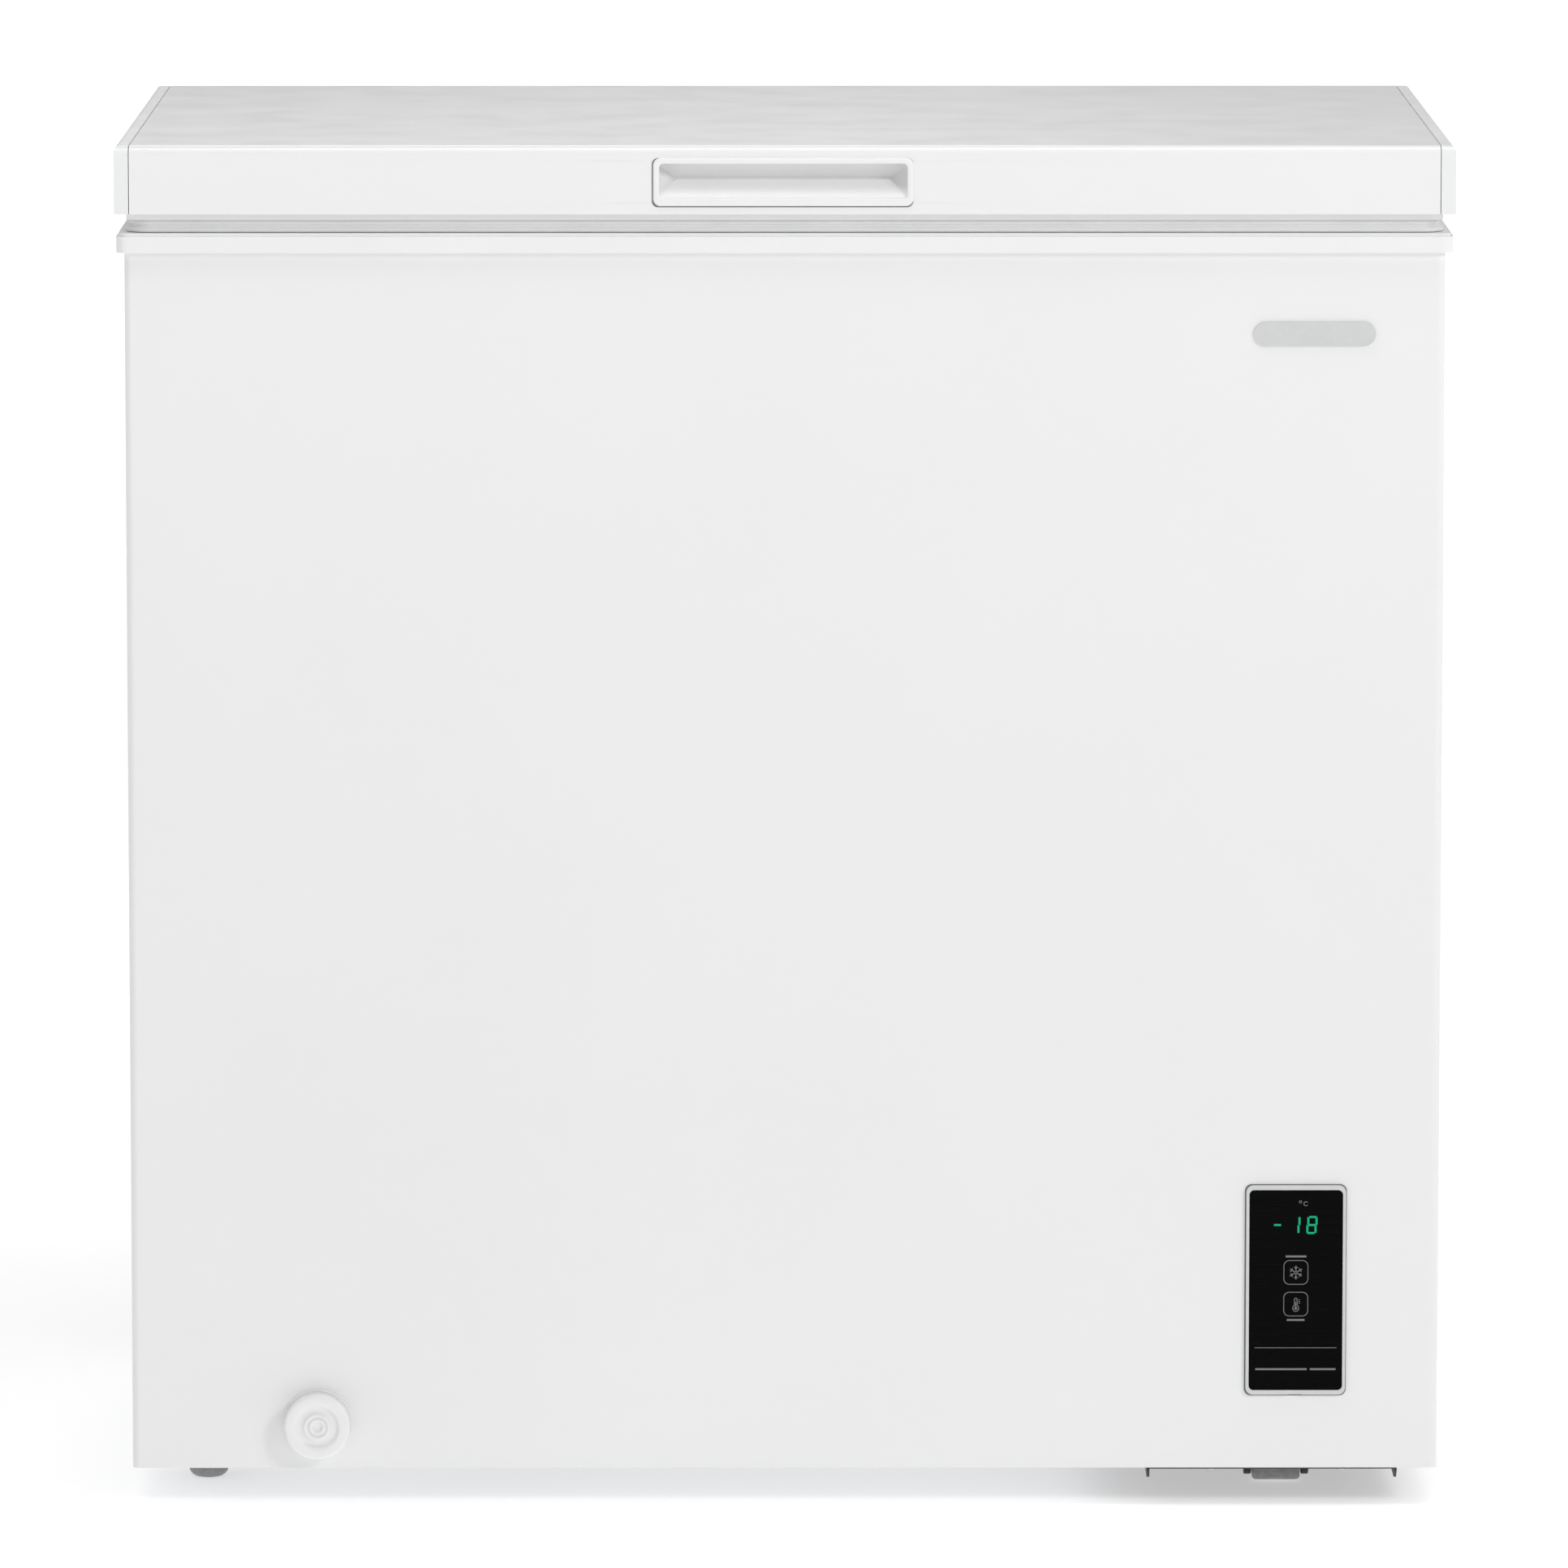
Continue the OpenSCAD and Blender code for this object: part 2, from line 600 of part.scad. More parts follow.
// ---------- control panel ----------
module control_bezel() {
  color([0.86, 0.87, 0.88]) difference() {
    union() {
      front_plate(panel_x, panel_z, panel_w, panel_h, 4.5, panel_y, 2.4);
      front_plate(panel_x, panel_z, 51, 115, 2, panel_y + 8, 8);
    }
    front_plate(panel_x, panel_z, lens_w + 0.2, lens_h + 0.2, 3, panel_y - 1, 4);
    front_plate(panel_x, panel_z, 47, 111, 1, panel_y + 9, 12);
    // the release notch at the bottom
    block([panel_x - 4, panel_y - 3, panel_z - panel_h / 2 - 1],
      [panel_x + 4, panel_y - 1.6, panel_z - panel_h / 2 + 1.2]);
  }
}
module control_lens() {
  color([0.03, 0.03, 0.04]) difference() {
    front_plate(panel_x, panel_z, lens_w, lens_h, 3, panel_y - 1, lens_out - 1);
    for (z = key_z)
      front_plate(panel_x, z, key_size + 2 * key_gap, key_size + 2 * key_gap, 3.2, panel_y + 1, 9);
  }
}
mark_t = 0.15;
mark_y = panel_y - lens_out;
// A flat shape printed on the lens
module print_on(x, z) {
  translate([x, mark_y, z]) rotate([90, 0, 0]) linear_extrude(mark_t) children();
}
module mark(x, z, w, h, r = 0.2) {
  front_plate(x, z, w, h, r, mark_y, mark_t);
}
seg_w = 6.4;
seg_h = 11.4;
seg_t = 1.3;
// One slanted seven-segment figure; on lists its lit segments
module figure(x, z, on) {
  slant = 0.12;
  bars = [[0, 1, 0], [1, 0.5, 1], [1, -0.5, 1], [0, -1, 0], [-1, -0.5, 1], [-1, 0.5, 1], [0, 0, 0]];
  for (i = on) let (b = bars[i], dz = b[1] * (seg_h - seg_t) / 2)
    translate([x + slant * dz + b[0] * (seg_w - seg_t) / 2, mark_y, z + dz])
      rotate([90, 0, 0]) linear_extrude(mark_t)
        square(b[2] == 0 ? [seg_w - seg_t - 0.7, seg_t] : [seg_t, seg_h / 2 - 0.9], center = true);
}
module display_segments() {
  z = panel_z + 41.2;
  color([0.12, 0.72, 0.5]) {
    // a minus sign, a one and an eight
    figure(panel_x - 11.6, z, [6]);
    figure(panel_x - 0.8, z, [1, 2]);
    figure(panel_x + 9.8, z, [0, 1, 2, 3, 4, 5, 6]);
  }
}
module panel_marks() {
  color([0.62, 0.63, 0.64]) {
    // unit mark: a small ring and a C
    print_on(panel_x + 2.6, panel_z + 55.8) difference() {
      circle(0.9);
      circle(0.5);
    }
    print_on(panel_x + 6, panel_z + 54.6) difference() {
      circle(1.5);
      circle(1.05);
      translate([0.7, -0.8]) square([2, 1.6]);
    }
    // plain bars beside the keys, and the divider above the lower field
    mark(panel_x, key_z[0] + 10.1, 13, 1.2);
    mark(panel_x, key_z[1] - 10, 11, 1.2);
    mark(panel_x, panel_z - 36.3, 51, 0.4, 0.1);
    mark(panel_x - 9, panel_z - 49.8, 32, 1.2);
    mark(panel_x + 17, panel_z - 49.8, 16, 1.2);
    // outlines round the two keys
    for (z = key_z) difference() {
      mark(panel_x, z, 15.4, 15.4, 3.6);
      front_plate(panel_x, z, 14.5, 14.5, 3.2, mark_y + 1, 2);
    }
  }
}
module control_board() {
  y = panel_y + 14;
  color([0.1, 0.35, 0.2]) union() {
    block([panel_x - 22, y, panel_z - 50], [panel_x + 22, y + 1.6, panel_z + 50]);
    // display block, relay and connectors
    block([panel_x - 18, y - 5, panel_z + 30], [panel_x + 18, y, panel_z + 48]);
    block([panel_x - 18, y + 1.6, panel_z - 40], [panel_x + 2, y + 14, panel_z - 24]);
    block([panel_x + 6, y + 1.6, panel_z - 44], [panel_x + 18, y + 10, panel_z - 20]);
    block([panel_x - 16, y + 1.6, panel_z + 10], [panel_x + 14, y + 8, panel_z + 20]);
  }
}
module control_box() {
  y0 = panel_y + 8;
  color([0.88, 0.88, 0.87]) difference() {
    block([panel_x - 26, y0, panel_z - 58], [panel_x + 26, y0 + 26, panel_z + 58]);
    block([panel_x - 24, y0 - 1, panel_z - 56], [panel_x + 24, y0 + 24, panel_z + 56]);
    for (z = [panel_z - 40 : 10 : panel_z + 30])
      block([panel_x - 14, y0 + 20, z], [panel_x + 14, y0 + 30, z + 4]);
  }
}
// A key in its own cut-out in the lens, with a stem towards the switch behind it
module key(z) {
  s = key_size;
  front_plate(panel_x, z, s, s, 3, panel_y + 0.5, lens_out + 0.7);
  front_plate(panel_x, z, 4, 4, 1, panel_y + 11.6, 11.2);
}
module super_key() {
  color([0.05, 0.05, 0.06]) union() {
    key(key_z[0]);
    // snowflake: three crossed bars
    for (a = [0, 60, 120]) translate([panel_x, mark_y - 0.2, key_z[0]]) rotate([90, 0, 0])
      rotate(a) linear_extrude(mark_t) square([8, 0.6], center = true);
  }
}
module temp_key() {
  color([0.05, 0.05, 0.06]) union() {
    key(key_z[1]);
    // thermometer: a stem over a bulb
    translate([panel_x, mark_y - 0.2, key_z[1]]) rotate([90, 0, 0]) linear_extrude(mark_t) {
      translate([0, -2.6]) circle(1.7);
      translate([-0.7, -2.6]) square([1.4, 6.8]);
    }
  }
}
sensor_x = 60;
sensor_z = 430;
module temp_sensor() {
  y0 = room_y0;
  color([0.9, 0.9, 0.88]) union() {
    block([sensor_x - 26, y0, sensor_z - 9], [sensor_x + 26, y0 + 2, sensor_z + 9]);
    rod_x(4, sensor_x - 20, sensor_x + 20, y0 + 5, sensor_z);
    for (x = [sensor_x - 14, sensor_x + 8])
      block([x, y0 + 1, sensor_z - 5.5], [x + 6, y0 + 10, sensor_z + 5.5]);
  }
}

// ---------- drain, feet and rollers ----------
module drain_dial() {
  y0 = cab_y0 - 2.2;
  out = cab_y0 - (lid_y0 - dial_out) - 2.2;
  color([0.96, 0.96, 0.95]) difference() {
    union() {
      rod_y(dial_r, y0 - out + 2, y0, dial_x, dial_z);
      rod_y(dial_r - 2, y0 - out, y0 - out + 2, dial_x, dial_z);
      rod_y(7.9, y0, y0 + 9, dial_x, dial_z);
    }
    // ring recess on the face, and the hollow stem
    difference() {
      rod_y(14.5, y0 - out - 1, y0 - out + 2.5, dial_x, dial_z);
      rod_y(8, y0 - out - 2, y0 - out + 4, dial_x, dial_z);
    }
    rod_y(4, y0 - out - 1, y0 - out + 1.6, dial_x, dial_z);
    rod_y(5, y0 - 2, y0 + 10, dial_x, dial_z);
  }
}
module drain_plug() {
  z = room_z0;
  color([0.9, 0.9, 0.9]) translate([dial_x, drain_y, 0]) union() {
    translate([0, 0, z + 0.3]) cylinder(r = 13, h = 2.7);
    translate([0, 0, z - 10]) cylinder(r = 8.6, h = 11);
    translate([-8, -1.5, z + 2]) cube([16, 3, 9]);
  }
}
module foot(y) {
  color([0.5, 0.51, 0.52]) translate([foot_x, y, 0]) difference() {
    union() {
      cylinder(r1 = 7, r2 = 12, h = 4);
      translate([0, 0, 4]) cylinder(r = 14, h = floor_gap - 6);
      cylinder(r = 4, h = floor_gap + 22);
    }
    for (a = [0 : 18 : 342]) rotate(a) translate([14.9, 0, 3]) cylinder(r = 1.7, h = 30);
  }
}
module roller(y) {
  color([0.55, 0.55, 0.56]) translate([roller_x, y, roller_r]) rotate([0, 90, 0])
    rotate_extrude() difference() {
      intersection() {
        rrect(2 * roller_r, roller_w, 2.5);
        translate([0, -roller_w / 2]) square([roller_r + 1, roller_w]);
      }
      translate([-1, -roller_w]) square([axle_r + run_gap + 1, 2 * roller_w]);
    }
}
ear_x = 17.8;
ear_t = 1.5;
module roller_brackets() {
  z1 = cab_z0 - plate_t;
  color([0.1, 0.1, 0.11]) for (y = roller_y, s = [-1, 1]) translate([roller_x, y, 0])
    difference() {
      union() {
        rod_x(7, s > 0 ? ear_x : -ear_x - ear_t, s > 0 ? ear_x + ear_t : -ear_x, 0, roller_r);
        block([s > 0 ? ear_x : -ear_x - ear_t, -7, roller_r],
          [s > 0 ? ear_x + ear_t : -ear_x, 7, z1]);
        block([s > 0 ? ear_x : -23.8, -7, z1 - ear_t], [s > 0 ? 23.8 : -ear_x, 7, z1]);
      }
      rod_x(axle_r, -30, 30, 0, roller_r);
    }
}
module roller_axles() {
  color([0.7, 0.71, 0.72]) for (y = roller_y) union() {
    rod_x(axle_r, roller_x - ear_x - 2.5, roller_x + ear_x + 2.5, y, roller_r);
    for (x = [roller_x - ear_x - 3.5, roller_x + ear_x + 2])
      rod_x(4, x, x + 1.5, y, roller_r);
  }
}

// ---------- hinges ----------
module hinge_bracket(x) {
  z0 = spring_z0 - 4;
  ear_r = 10;
  color([0.75, 0.76, 0.77]) translate([x, 0, 0]) difference() {
    union() {
      // back plate on the rear panel and the floor of the channel
      block([-24, cab_y1, z0 + 10], [24, cab_y1 + 2, collar_z0 - 8]);
      block([-13, cab_y1, z0], [13, pin_y + ear_r, z0 + 4]);
      for (s = [-13, 11]) {
        block([s, cab_y1, z0], [s + 2, pin_y + ear_r, collar_z0 - 8]);
        block([s, pin_y - 13, collar_z0 - 9], [s + 2, pin_y + ear_r, pin_z]);
        rod_x(ear_r, s, s + 2, pin_y, pin_z);
      }
      // outer wall of the channel
      block([-13, pin_y + ear_r - 2, z0], [13, pin_y + ear_r, pin_z - 22]);
    }
    rod_x(pin_r, -20, 20, pin_y, pin_z);
  }
}
// An involute cam: the plunger's flat top rises by the same step for each degree of the lid.
// The touching point stays at one distance in front of the pin.
cam_step = cam_lift / lid_open;
cam_side = cam_step * 180 / PI;
cam_w = 10;
function cam_point(a) =
  let (h = cam_r0 - cam_step * a)
  [h * sin(a) - cam_side * cos(a), -h * cos(a) - cam_side * sin(a)];
module cam() {
  pts = [for (a = [0 : 5 : lid_open + 5]) cam_point(a)];
  translate([-cam_w / 2, pin_y, pin_z]) rotate([90, 0, 90]) linear_extrude(cam_w)
    polygon(concat(pts, [[cam_side, 0], [-cam_side, 0]]));
}
module hinge_leaf(x) {
  color([0.7, 0.71, 0.72]) translate([x, 0, 0]) difference() {
    union() {
      block([-24, lid_y1, lid_z0 + 1], [24, lid_y1 + 2, lid_z1 - 5]);
      for (s = [-9, 7]) {
        block([s, lid_y1 + 1, pin_z - 7], [s + 2, pin_y, pin_z + 7]);
        rod_x(7, s, s + 2, pin_y, pin_z);
      }
      cam();
      rod_x(6.2, -8, 8, pin_y, pin_z);
    }
    rod_x(pin_r + run_gap, -20, 20, pin_y, pin_z);
  }
}
module hinge_plunger(x) {
  y = pin_y - 1;
  top = pin_z - cam_r0 - plunger_gap;
  color([0.3, 0.3, 0.32]) translate([x, 0, 0]) union() {
    block([-6, pin_y - 7.5, top - 20], [6, pin_y + 7.5, top]);
    block([-10.6, y - 8, plunger_z0], [10.6, y + 8, top - 8]);
  }
}
module hinge_spring(x) {
  turns = 6;
  r = 6.5;
  wire = 1.3;
  z0 = spring_z0 + wire;
  h = plunger_z0 - spring_z0 - 2 * wire;
  color([0.6, 0.61, 0.62]) pipe([
    for (k = [0 : 12 * turns])
      [x + r * cos(30 * k), pin_y - 1 + r * sin(30 * k), z0 + h * k / (12 * turns)]
  ], wire, 6);
}
module hinge_pins() {
  color([0.8, 0.81, 0.82]) for (x = [-hinge_x, hinge_x]) union() {
    rod_x(pin_r, x - 14, x + 14, pin_y, pin_z);
    rod_x(5, x - 15.5, x - 13, pin_y, pin_z);
    rod_x(5, x + 13, x + 15.5, pin_y, pin_z);
  }
}
module leaf_screws() {
  color([0.78, 0.79, 0.8])
    for (x = [-hinge_x, hinge_x], sx = [-leaf_screw_x, leaf_screw_x], z = leaf_screw_z)
      union() screw_y(x + sx, lid_y1 + 2, z);
}

// ---------- lid ----------
// Side outline of the lid, inset all round by i
module lid_outline(i) {
  d = lid_d - 2 * i;
  translate([(lid_y0 + lid_y1) / 2, lid_z0]) {
    translate([0, (lid_h - i) / 2]) rrect(d, lid_h - i, lid_r - i);
    translate([-d / 2, 0]) square([d, lid_h / 2]);
  }
}
handle_x = -1;
handle_z = lid_z0 + 19.8;
module handle_hole(grow, depth) {
  front_plate(handle_x, handle_z, handle_w - 8 + 2 * grow, handle_h - 8 + 2 * grow, 3,
    lid_y0 + depth, depth + 1);
}
skin_x = lid_w / 2 - trim_w;
module lid_skin() {
  color([0.95, 0.95, 0.95]) difference() {
    along_x(-skin_x, 2 * skin_x) lid_outline(0);
    translate([0, 0, -eps]) along_x(-lid_w, 2 * lid_w) lid_outline(sheet);
    handle_hole(1.5, 2);
  }
}
// Each end of the lid is a rolled cap, one line's width away from the skin
module end_shape(w, i) {
  intersection() {
    along_x(-w / 2, w) lid_outline(i);
    along_y(lid_y1 + 1, lid_d + 2) union() {
      translate([0, lid_z1 - i - 15]) rrect(w, 30, 4);
      translate([-w / 2, lid_z0]) square([w, lid_h / 2]);
    }
  }
}
module lid_side_trims() {
  gap = 0.4;
  color([0.93, 0.93, 0.93]) difference() {
    end_shape(lid_w, 0);
    end_shape(lid_w - 3, 1.5);
    block([-skin_x - gap, lid_y0 - 1, 0], [skin_x + gap, lid_y1 + 1, total_h + 1]);
    block([-skin_x - 8, lid_y0 + 1.5, lid_z0 - 1], [skin_x + 8, lid_y1 - 1.5, lid_z0 + 1]);
  }
}
tray_w = room_w - 40;
tray_d = room_d - 40;
module lid_foam() {
  g = sheet + 0.2;
  color([0.93, 0.88, 0.7]) difference() {
    union() {
      block([-skin_x + 1, lid_y0 + lid_r, lid_z0], [skin_x - 1, lid_y1 - lid_r, lid_z1 - g]);
      block([-skin_x + 1, lid_y0 + g, lid_z0], [skin_x - 1, lid_y1 - g, lid_z1 - lid_r]);
      rprism(tray_w - 6, tray_d - 6, 18, lid_z0 - 5, lid_z0 + 1, room_ym);
    }
    block([handle_x - handle_w / 2, lid_y0 - 1, handle_z - handle_h / 2],
      [handle_x + handle_w / 2, lid_y0 + handle_deep + 3, handle_z + handle_h / 2]);
    for (x = [-hinge_x, hinge_x], sx = [-leaf_screw_x, leaf_screw_x], z = leaf_screw_z)
      rod_y(1.7, lid_y1 - 9, lid_y1 + 1, x + sx, z);
  }
}
module lid_frame() {
  ym = (lid_y0 + lid_y1) / 2;
  color([0.93, 0.93, 0.93]) difference() {
    rprism(lid_w - 14, lid_d - 14, 6, lid_z0 - frame_t, lid_z0, ym);
    rprism(tray_w, tray_d, 20, lid_z0 - frame_t - 1, lid_z0 + 1, room_ym);
  }
}
module lid_liner() {
  z0 = lid_z0 - 7;
  color([0.94, 0.95, 0.95]) difference() {
    rprism(tray_w, tray_d, 20, z0, lid_z0, room_ym);
    rprism(tray_w - 6, tray_d - 6, 18, lid_z0 - 5, lid_z0 + 1, room_ym);
    // pressed panels
    for (x = [-230, 0, 230])
      rprism(200, tray_d - 50, 12, z0 - 1, z0 + 0.8, room_ym, x);
  }
}
module lid_gasket() {
  ym = (lid_y0 + lid_y1) / 2;
  w = lid_w - 31;
  d = lid_d - 33;
  z1 = lid_z0 - frame_t;
  z0 = collar_z1 + seal_gap;
  lip = 17;
  color([0.85, 0.86, 0.86]) difference() {
    union() {
      rprism(w, d, 14, z0, z0 + 2.5, ym);
      rprism(w - 6, d - 6, 11, z0 + 2, z1, ym);
    }
    rprism(w - 2 * lip, d - 2 * lip, 6, z0 - 1, z1 + 1, ym);
    // the bellows' groove, open to the inside
    rprism(w - 2 * lip + 12, d - 2 * lip + 12, 8, z0 + 2.5, z1 - 2, ym);
  }
}
module handle_insert() {
  y = lid_y0;
  zb = handle_z - handle_h / 2;
  zt = handle_z + handle_h / 2;
  ri = handle_deep - 4;
  color([0.94, 0.94, 0.94]) difference() {
    union() {
      front_plate(handle_x, handle_z, handle_w, handle_h, 4.5, y, 1.2);
      front_plate(handle_x, handle_z, handle_w - 6, handle_h - 6, 3, y + handle_deep + 2,
        handle_deep + 2);
    }
    // the scoop: curved below, so that fingers turn up behind the front edge
    intersection() {
      front_plate(handle_x, handle_z, handle_w - 10, handle_h - 10, 2, y + handle_deep,
        handle_deep + 3);
      union() {
        block([-lid_w, y - 3, handle_z - 4], [lid_w, y + handle_deep, zt]);
        rod_x(ri, -lid_w, lid_w, y, handle_z - 9.8 + ri);
        block([-lid_w, y - 3, zb], [lid_w, y, zt]);
      }
    }
  }
}

// ---------- basket ----------
rim_r = 2.5;
wire_r = 1.3;
basket_x1 = room_w / 2 - 14;
basket_x0 = basket_x1 - basket_len;
rim_z = ledge_z + rim_r + 0.2;
rim_y0 = room_y0 - 5;
rim_y1 = room_y1 + 5;
cage_y0 = room_y0 + 12;
cage_y1 = room_y1 - 12;
cage_z0 = rim_z - basket_h;
belt_off = 2 * wire_r + 0.1;
// One bent wire: down one side, across under the basket and up the other side
function u_wire(a, b, down) =
  let (r = 7, u = unit(b - a), z = [0, 0, 1])
  concat(
    [a],
    bend(a - down * z + r * (u + z), r, -u, -z, 0, 90),
    bend(b - down * z + r * (z - u), r, -z, u, 0, 90),
    [b]
  );
module belt(x0, x1, z) {
  y0 = cage_y0 - belt_off;
  y1 = cage_y1 + belt_off;
  for (y = [y0, y1]) rod_x(wire_r, x0, x1, y, z);
  for (x = [x0, x1]) rod_y(wire_r, y0, y1, x, z);
  for (x = [x0, x1], y = [y0, y1]) translate([x, y, z]) sphere(r = wire_r);
}
module basket_rim() {
  x0 = basket_x0;
  x1 = basket_x1;
  color([0.92, 0.93, 0.93]) union() {
    // hanging bars over the front and rear ledges
    for (y = [rim_y0, rim_y1]) rod_x(rim_r, x0 + 10, x1 - 10, y, rim_z);
    for (x = [x0, x1]) rod_y(rim_r, cage_y0, cage_y1, x, rim_z);
    for (y = [cage_y0, cage_y1]) rod_x(rim_r, x0, x1, y, rim_z);
    for (x = [x0 + 10, x1 - 10]) {
      rod_y(rim_r, rim_y0, cage_y0, x, rim_z);
      rod_y(rim_r, cage_y1, rim_y1, x, rim_z);
    }
    for (x = [x0, x1], y = [cage_y0, cage_y1]) translate([x, y, rim_z]) sphere(r = rim_r);
    for (x = [x0 + 10, x1 - 10], y = [rim_y0, rim_y1]) translate([x, y, rim_z]) sphere(r = rim_r);
    // belts round the outside of the wires
    for (k = [1, 2]) belt(x0 - belt_off, x1 + belt_off, cage_z0 + k * basket_h / 3);
  }
}
module basket_cross_wires() {
  n = 7;
  top = rim_z - rim_r + 0.5;
  color([0.92, 0.93, 0.93]) for (i = [0 : n])
    let (x = basket_x0 + 8 + (basket_len - 16) * i / n)
      pipe(u_wire([x, cage_y0, top], [x, cage_y1, top], top - cage_z0), wire_r, 6);
}
module basket_long_wires() {
  n = 10;
  top = rim_z - rim_r + 0.5;
  lift = 2 * wire_r;
  color([0.92, 0.93, 0.93]) for (i = [0 : n])
    let (y = cage_y0 + 14 + (cage_y1 - cage_y0 - 28) * i / n)
      pipe(u_wire([basket_x0, y, top], [basket_x1, y, top], top - cage_z0 - lift), wire_r, 6);
}

// ---------- left and right copies ----------
module hinge_bracket_left() { hinge_bracket(-hinge_x); }
module hinge_bracket_right() { hinge_bracket(hinge_x); }
module hinge_spring_left() { hinge_spring(-hinge_x); }
module hinge_spring_right() { hinge_spring(hinge_x); }
module hinge_leaf_left() { hinge_leaf(-hinge_x); }
module hinge_leaf_right() { hinge_leaf(hinge_x); }
module hinge_plunger_left() { hinge_plunger(-hinge_x); }
module hinge_plunger_right() { hinge_plunger(hinge_x); }
module roller_front() { roller(roller_y[0]); }
module roller_rear() { roller(roller_y[1]); }
module foot_front() { foot(foot_y[0]); }
module foot_rear() { foot(foot_y[1]); }

outer_wrap();
rear_panel();
base_pan();
bay_liner();
foam_core();
inner_liner();
top_collar();
evaporator_coil();
condenser_coil();
drain_tube();
drain_housing();
compressor_plate();
compressor_shell();
compressor_grommets();
compressor_bolts();
relay_cover();
refrigerant_pipes();
filter_drier();
control_bezel();
control_lens();
display_segments();
panel_marks();
control_board();
control_box();
temp_sensor();
rear_cover();
side_grille();
body_screws();
cord_gland();
badge_plate();
hinge_bracket_left();
hinge_bracket_right();
hinge_spring_left();
hinge_spring_right();
hinge_pins();
roller_brackets();
roller_axles();
lid_skin();
lid_side_trims();
lid_foam();
lid_frame();
lid_liner();
lid_gasket();
handle_insert();
hinge_leaf_left();
hinge_leaf_right();
leaf_screws();
basket_rim();
basket_cross_wires();
basket_long_wires();
drain_dial();
drain_plug();
super_key();
temp_key();
roller_front();
roller_rear();
foot_front();
foot_rear();
hinge_plunger_left();
hinge_plunger_right();
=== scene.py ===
"""Chest freezer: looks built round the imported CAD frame. Everything is in metres, in the CAD frame."""
import json
import math

import bpy
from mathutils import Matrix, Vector


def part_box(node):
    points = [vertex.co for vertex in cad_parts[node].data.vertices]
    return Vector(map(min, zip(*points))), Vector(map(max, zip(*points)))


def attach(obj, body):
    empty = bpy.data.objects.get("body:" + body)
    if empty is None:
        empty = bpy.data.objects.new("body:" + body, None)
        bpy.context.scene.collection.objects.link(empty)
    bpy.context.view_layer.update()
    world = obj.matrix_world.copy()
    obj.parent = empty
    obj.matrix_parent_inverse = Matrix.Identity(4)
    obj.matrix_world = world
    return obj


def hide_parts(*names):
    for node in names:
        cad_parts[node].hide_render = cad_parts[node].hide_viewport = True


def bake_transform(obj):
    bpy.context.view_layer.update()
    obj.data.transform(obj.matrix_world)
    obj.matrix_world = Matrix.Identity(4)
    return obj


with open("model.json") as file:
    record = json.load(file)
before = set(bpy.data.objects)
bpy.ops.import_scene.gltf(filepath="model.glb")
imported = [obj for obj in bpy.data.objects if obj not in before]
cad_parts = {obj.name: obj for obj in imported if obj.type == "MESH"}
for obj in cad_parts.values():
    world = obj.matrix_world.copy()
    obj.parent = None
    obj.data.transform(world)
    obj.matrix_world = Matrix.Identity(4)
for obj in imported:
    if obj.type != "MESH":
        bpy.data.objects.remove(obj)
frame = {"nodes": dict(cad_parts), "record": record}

NODES = frame["nodes"]
MM = 0.001


def clear_startup_objects():
    """Blender's startup cube, lamp and camera are not part of the scene."""
    for name in ("Cube", "Light", "Camera"):
        if name in bpy.data.objects:
            bpy.data.objects.remove(bpy.data.objects[name])


clear_startup_objects()
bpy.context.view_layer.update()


# ---------------------------------------------------------------- camera, light and floor
def look_at(obj, target):
    obj.rotation_euler = (Vector(target) - obj.location).to_track_quat("-Z", "Y").to_euler()


def make_camera():
    """A long lens from the front, a little above the lid."""
    data = bpy.data.cameras.new("camera")
    data.sensor_width = 36
    data.lens = 269
    data.clip_end = 200
    cam = bpy.data.objects.new("camera", data)
    cam.location = (-0.014, -7.457, 1.4006)
    bpy.context.scene.collection.objects.link(cam)
    look_at(cam, (0.0, 0.0, 0.419))
    bpy.context.scene.camera = cam


def softbox(name, place, target, size, power):
    data = bpy.data.lights.new(name, "AREA")
    data.shape = "RECTANGLE"
    data.size, data.size_y = size
    data.energy = power
    lamp = bpy.data.objects.new(name, data)
    lamp.location = place
    bpy.context.scene.collection.objects.link(lamp)
    look_at(lamp, target)


def make_studio():
    """White surroundings, a softbox from the right, one overhead and two weak fills."""
    scene = bpy.context.scene
    scene.view_settings.view_transform = "Standard"
    world = bpy.data.worlds.new("studio")
    scene.world = world
    world.use_nodes = True
    back = world.node_tree.nodes["Background"]
    back.inputs["Color"].default_value = (1, 1, 1, 1)
    back.inputs["Strength"].default_value = 0.38
    softbox("key", (3.0, -3.0, 2.4), (0, -0.2, 0.4), (1.1, 0.9), 54)
    softbox("overhead", (0.1, -0.5, 2.2), (0, -0.25, 0.85), (2.8, 0.5), 15)
    softbox("fill", (-2.4, -3.6, 1.2), (0, -0.2, 0.4), (2.0, 2.0), 8)
    softbox("rim", (-0.8, 2.6, 2.4), (0, 0.2, 0.7), (2.4, 1.2), 16)


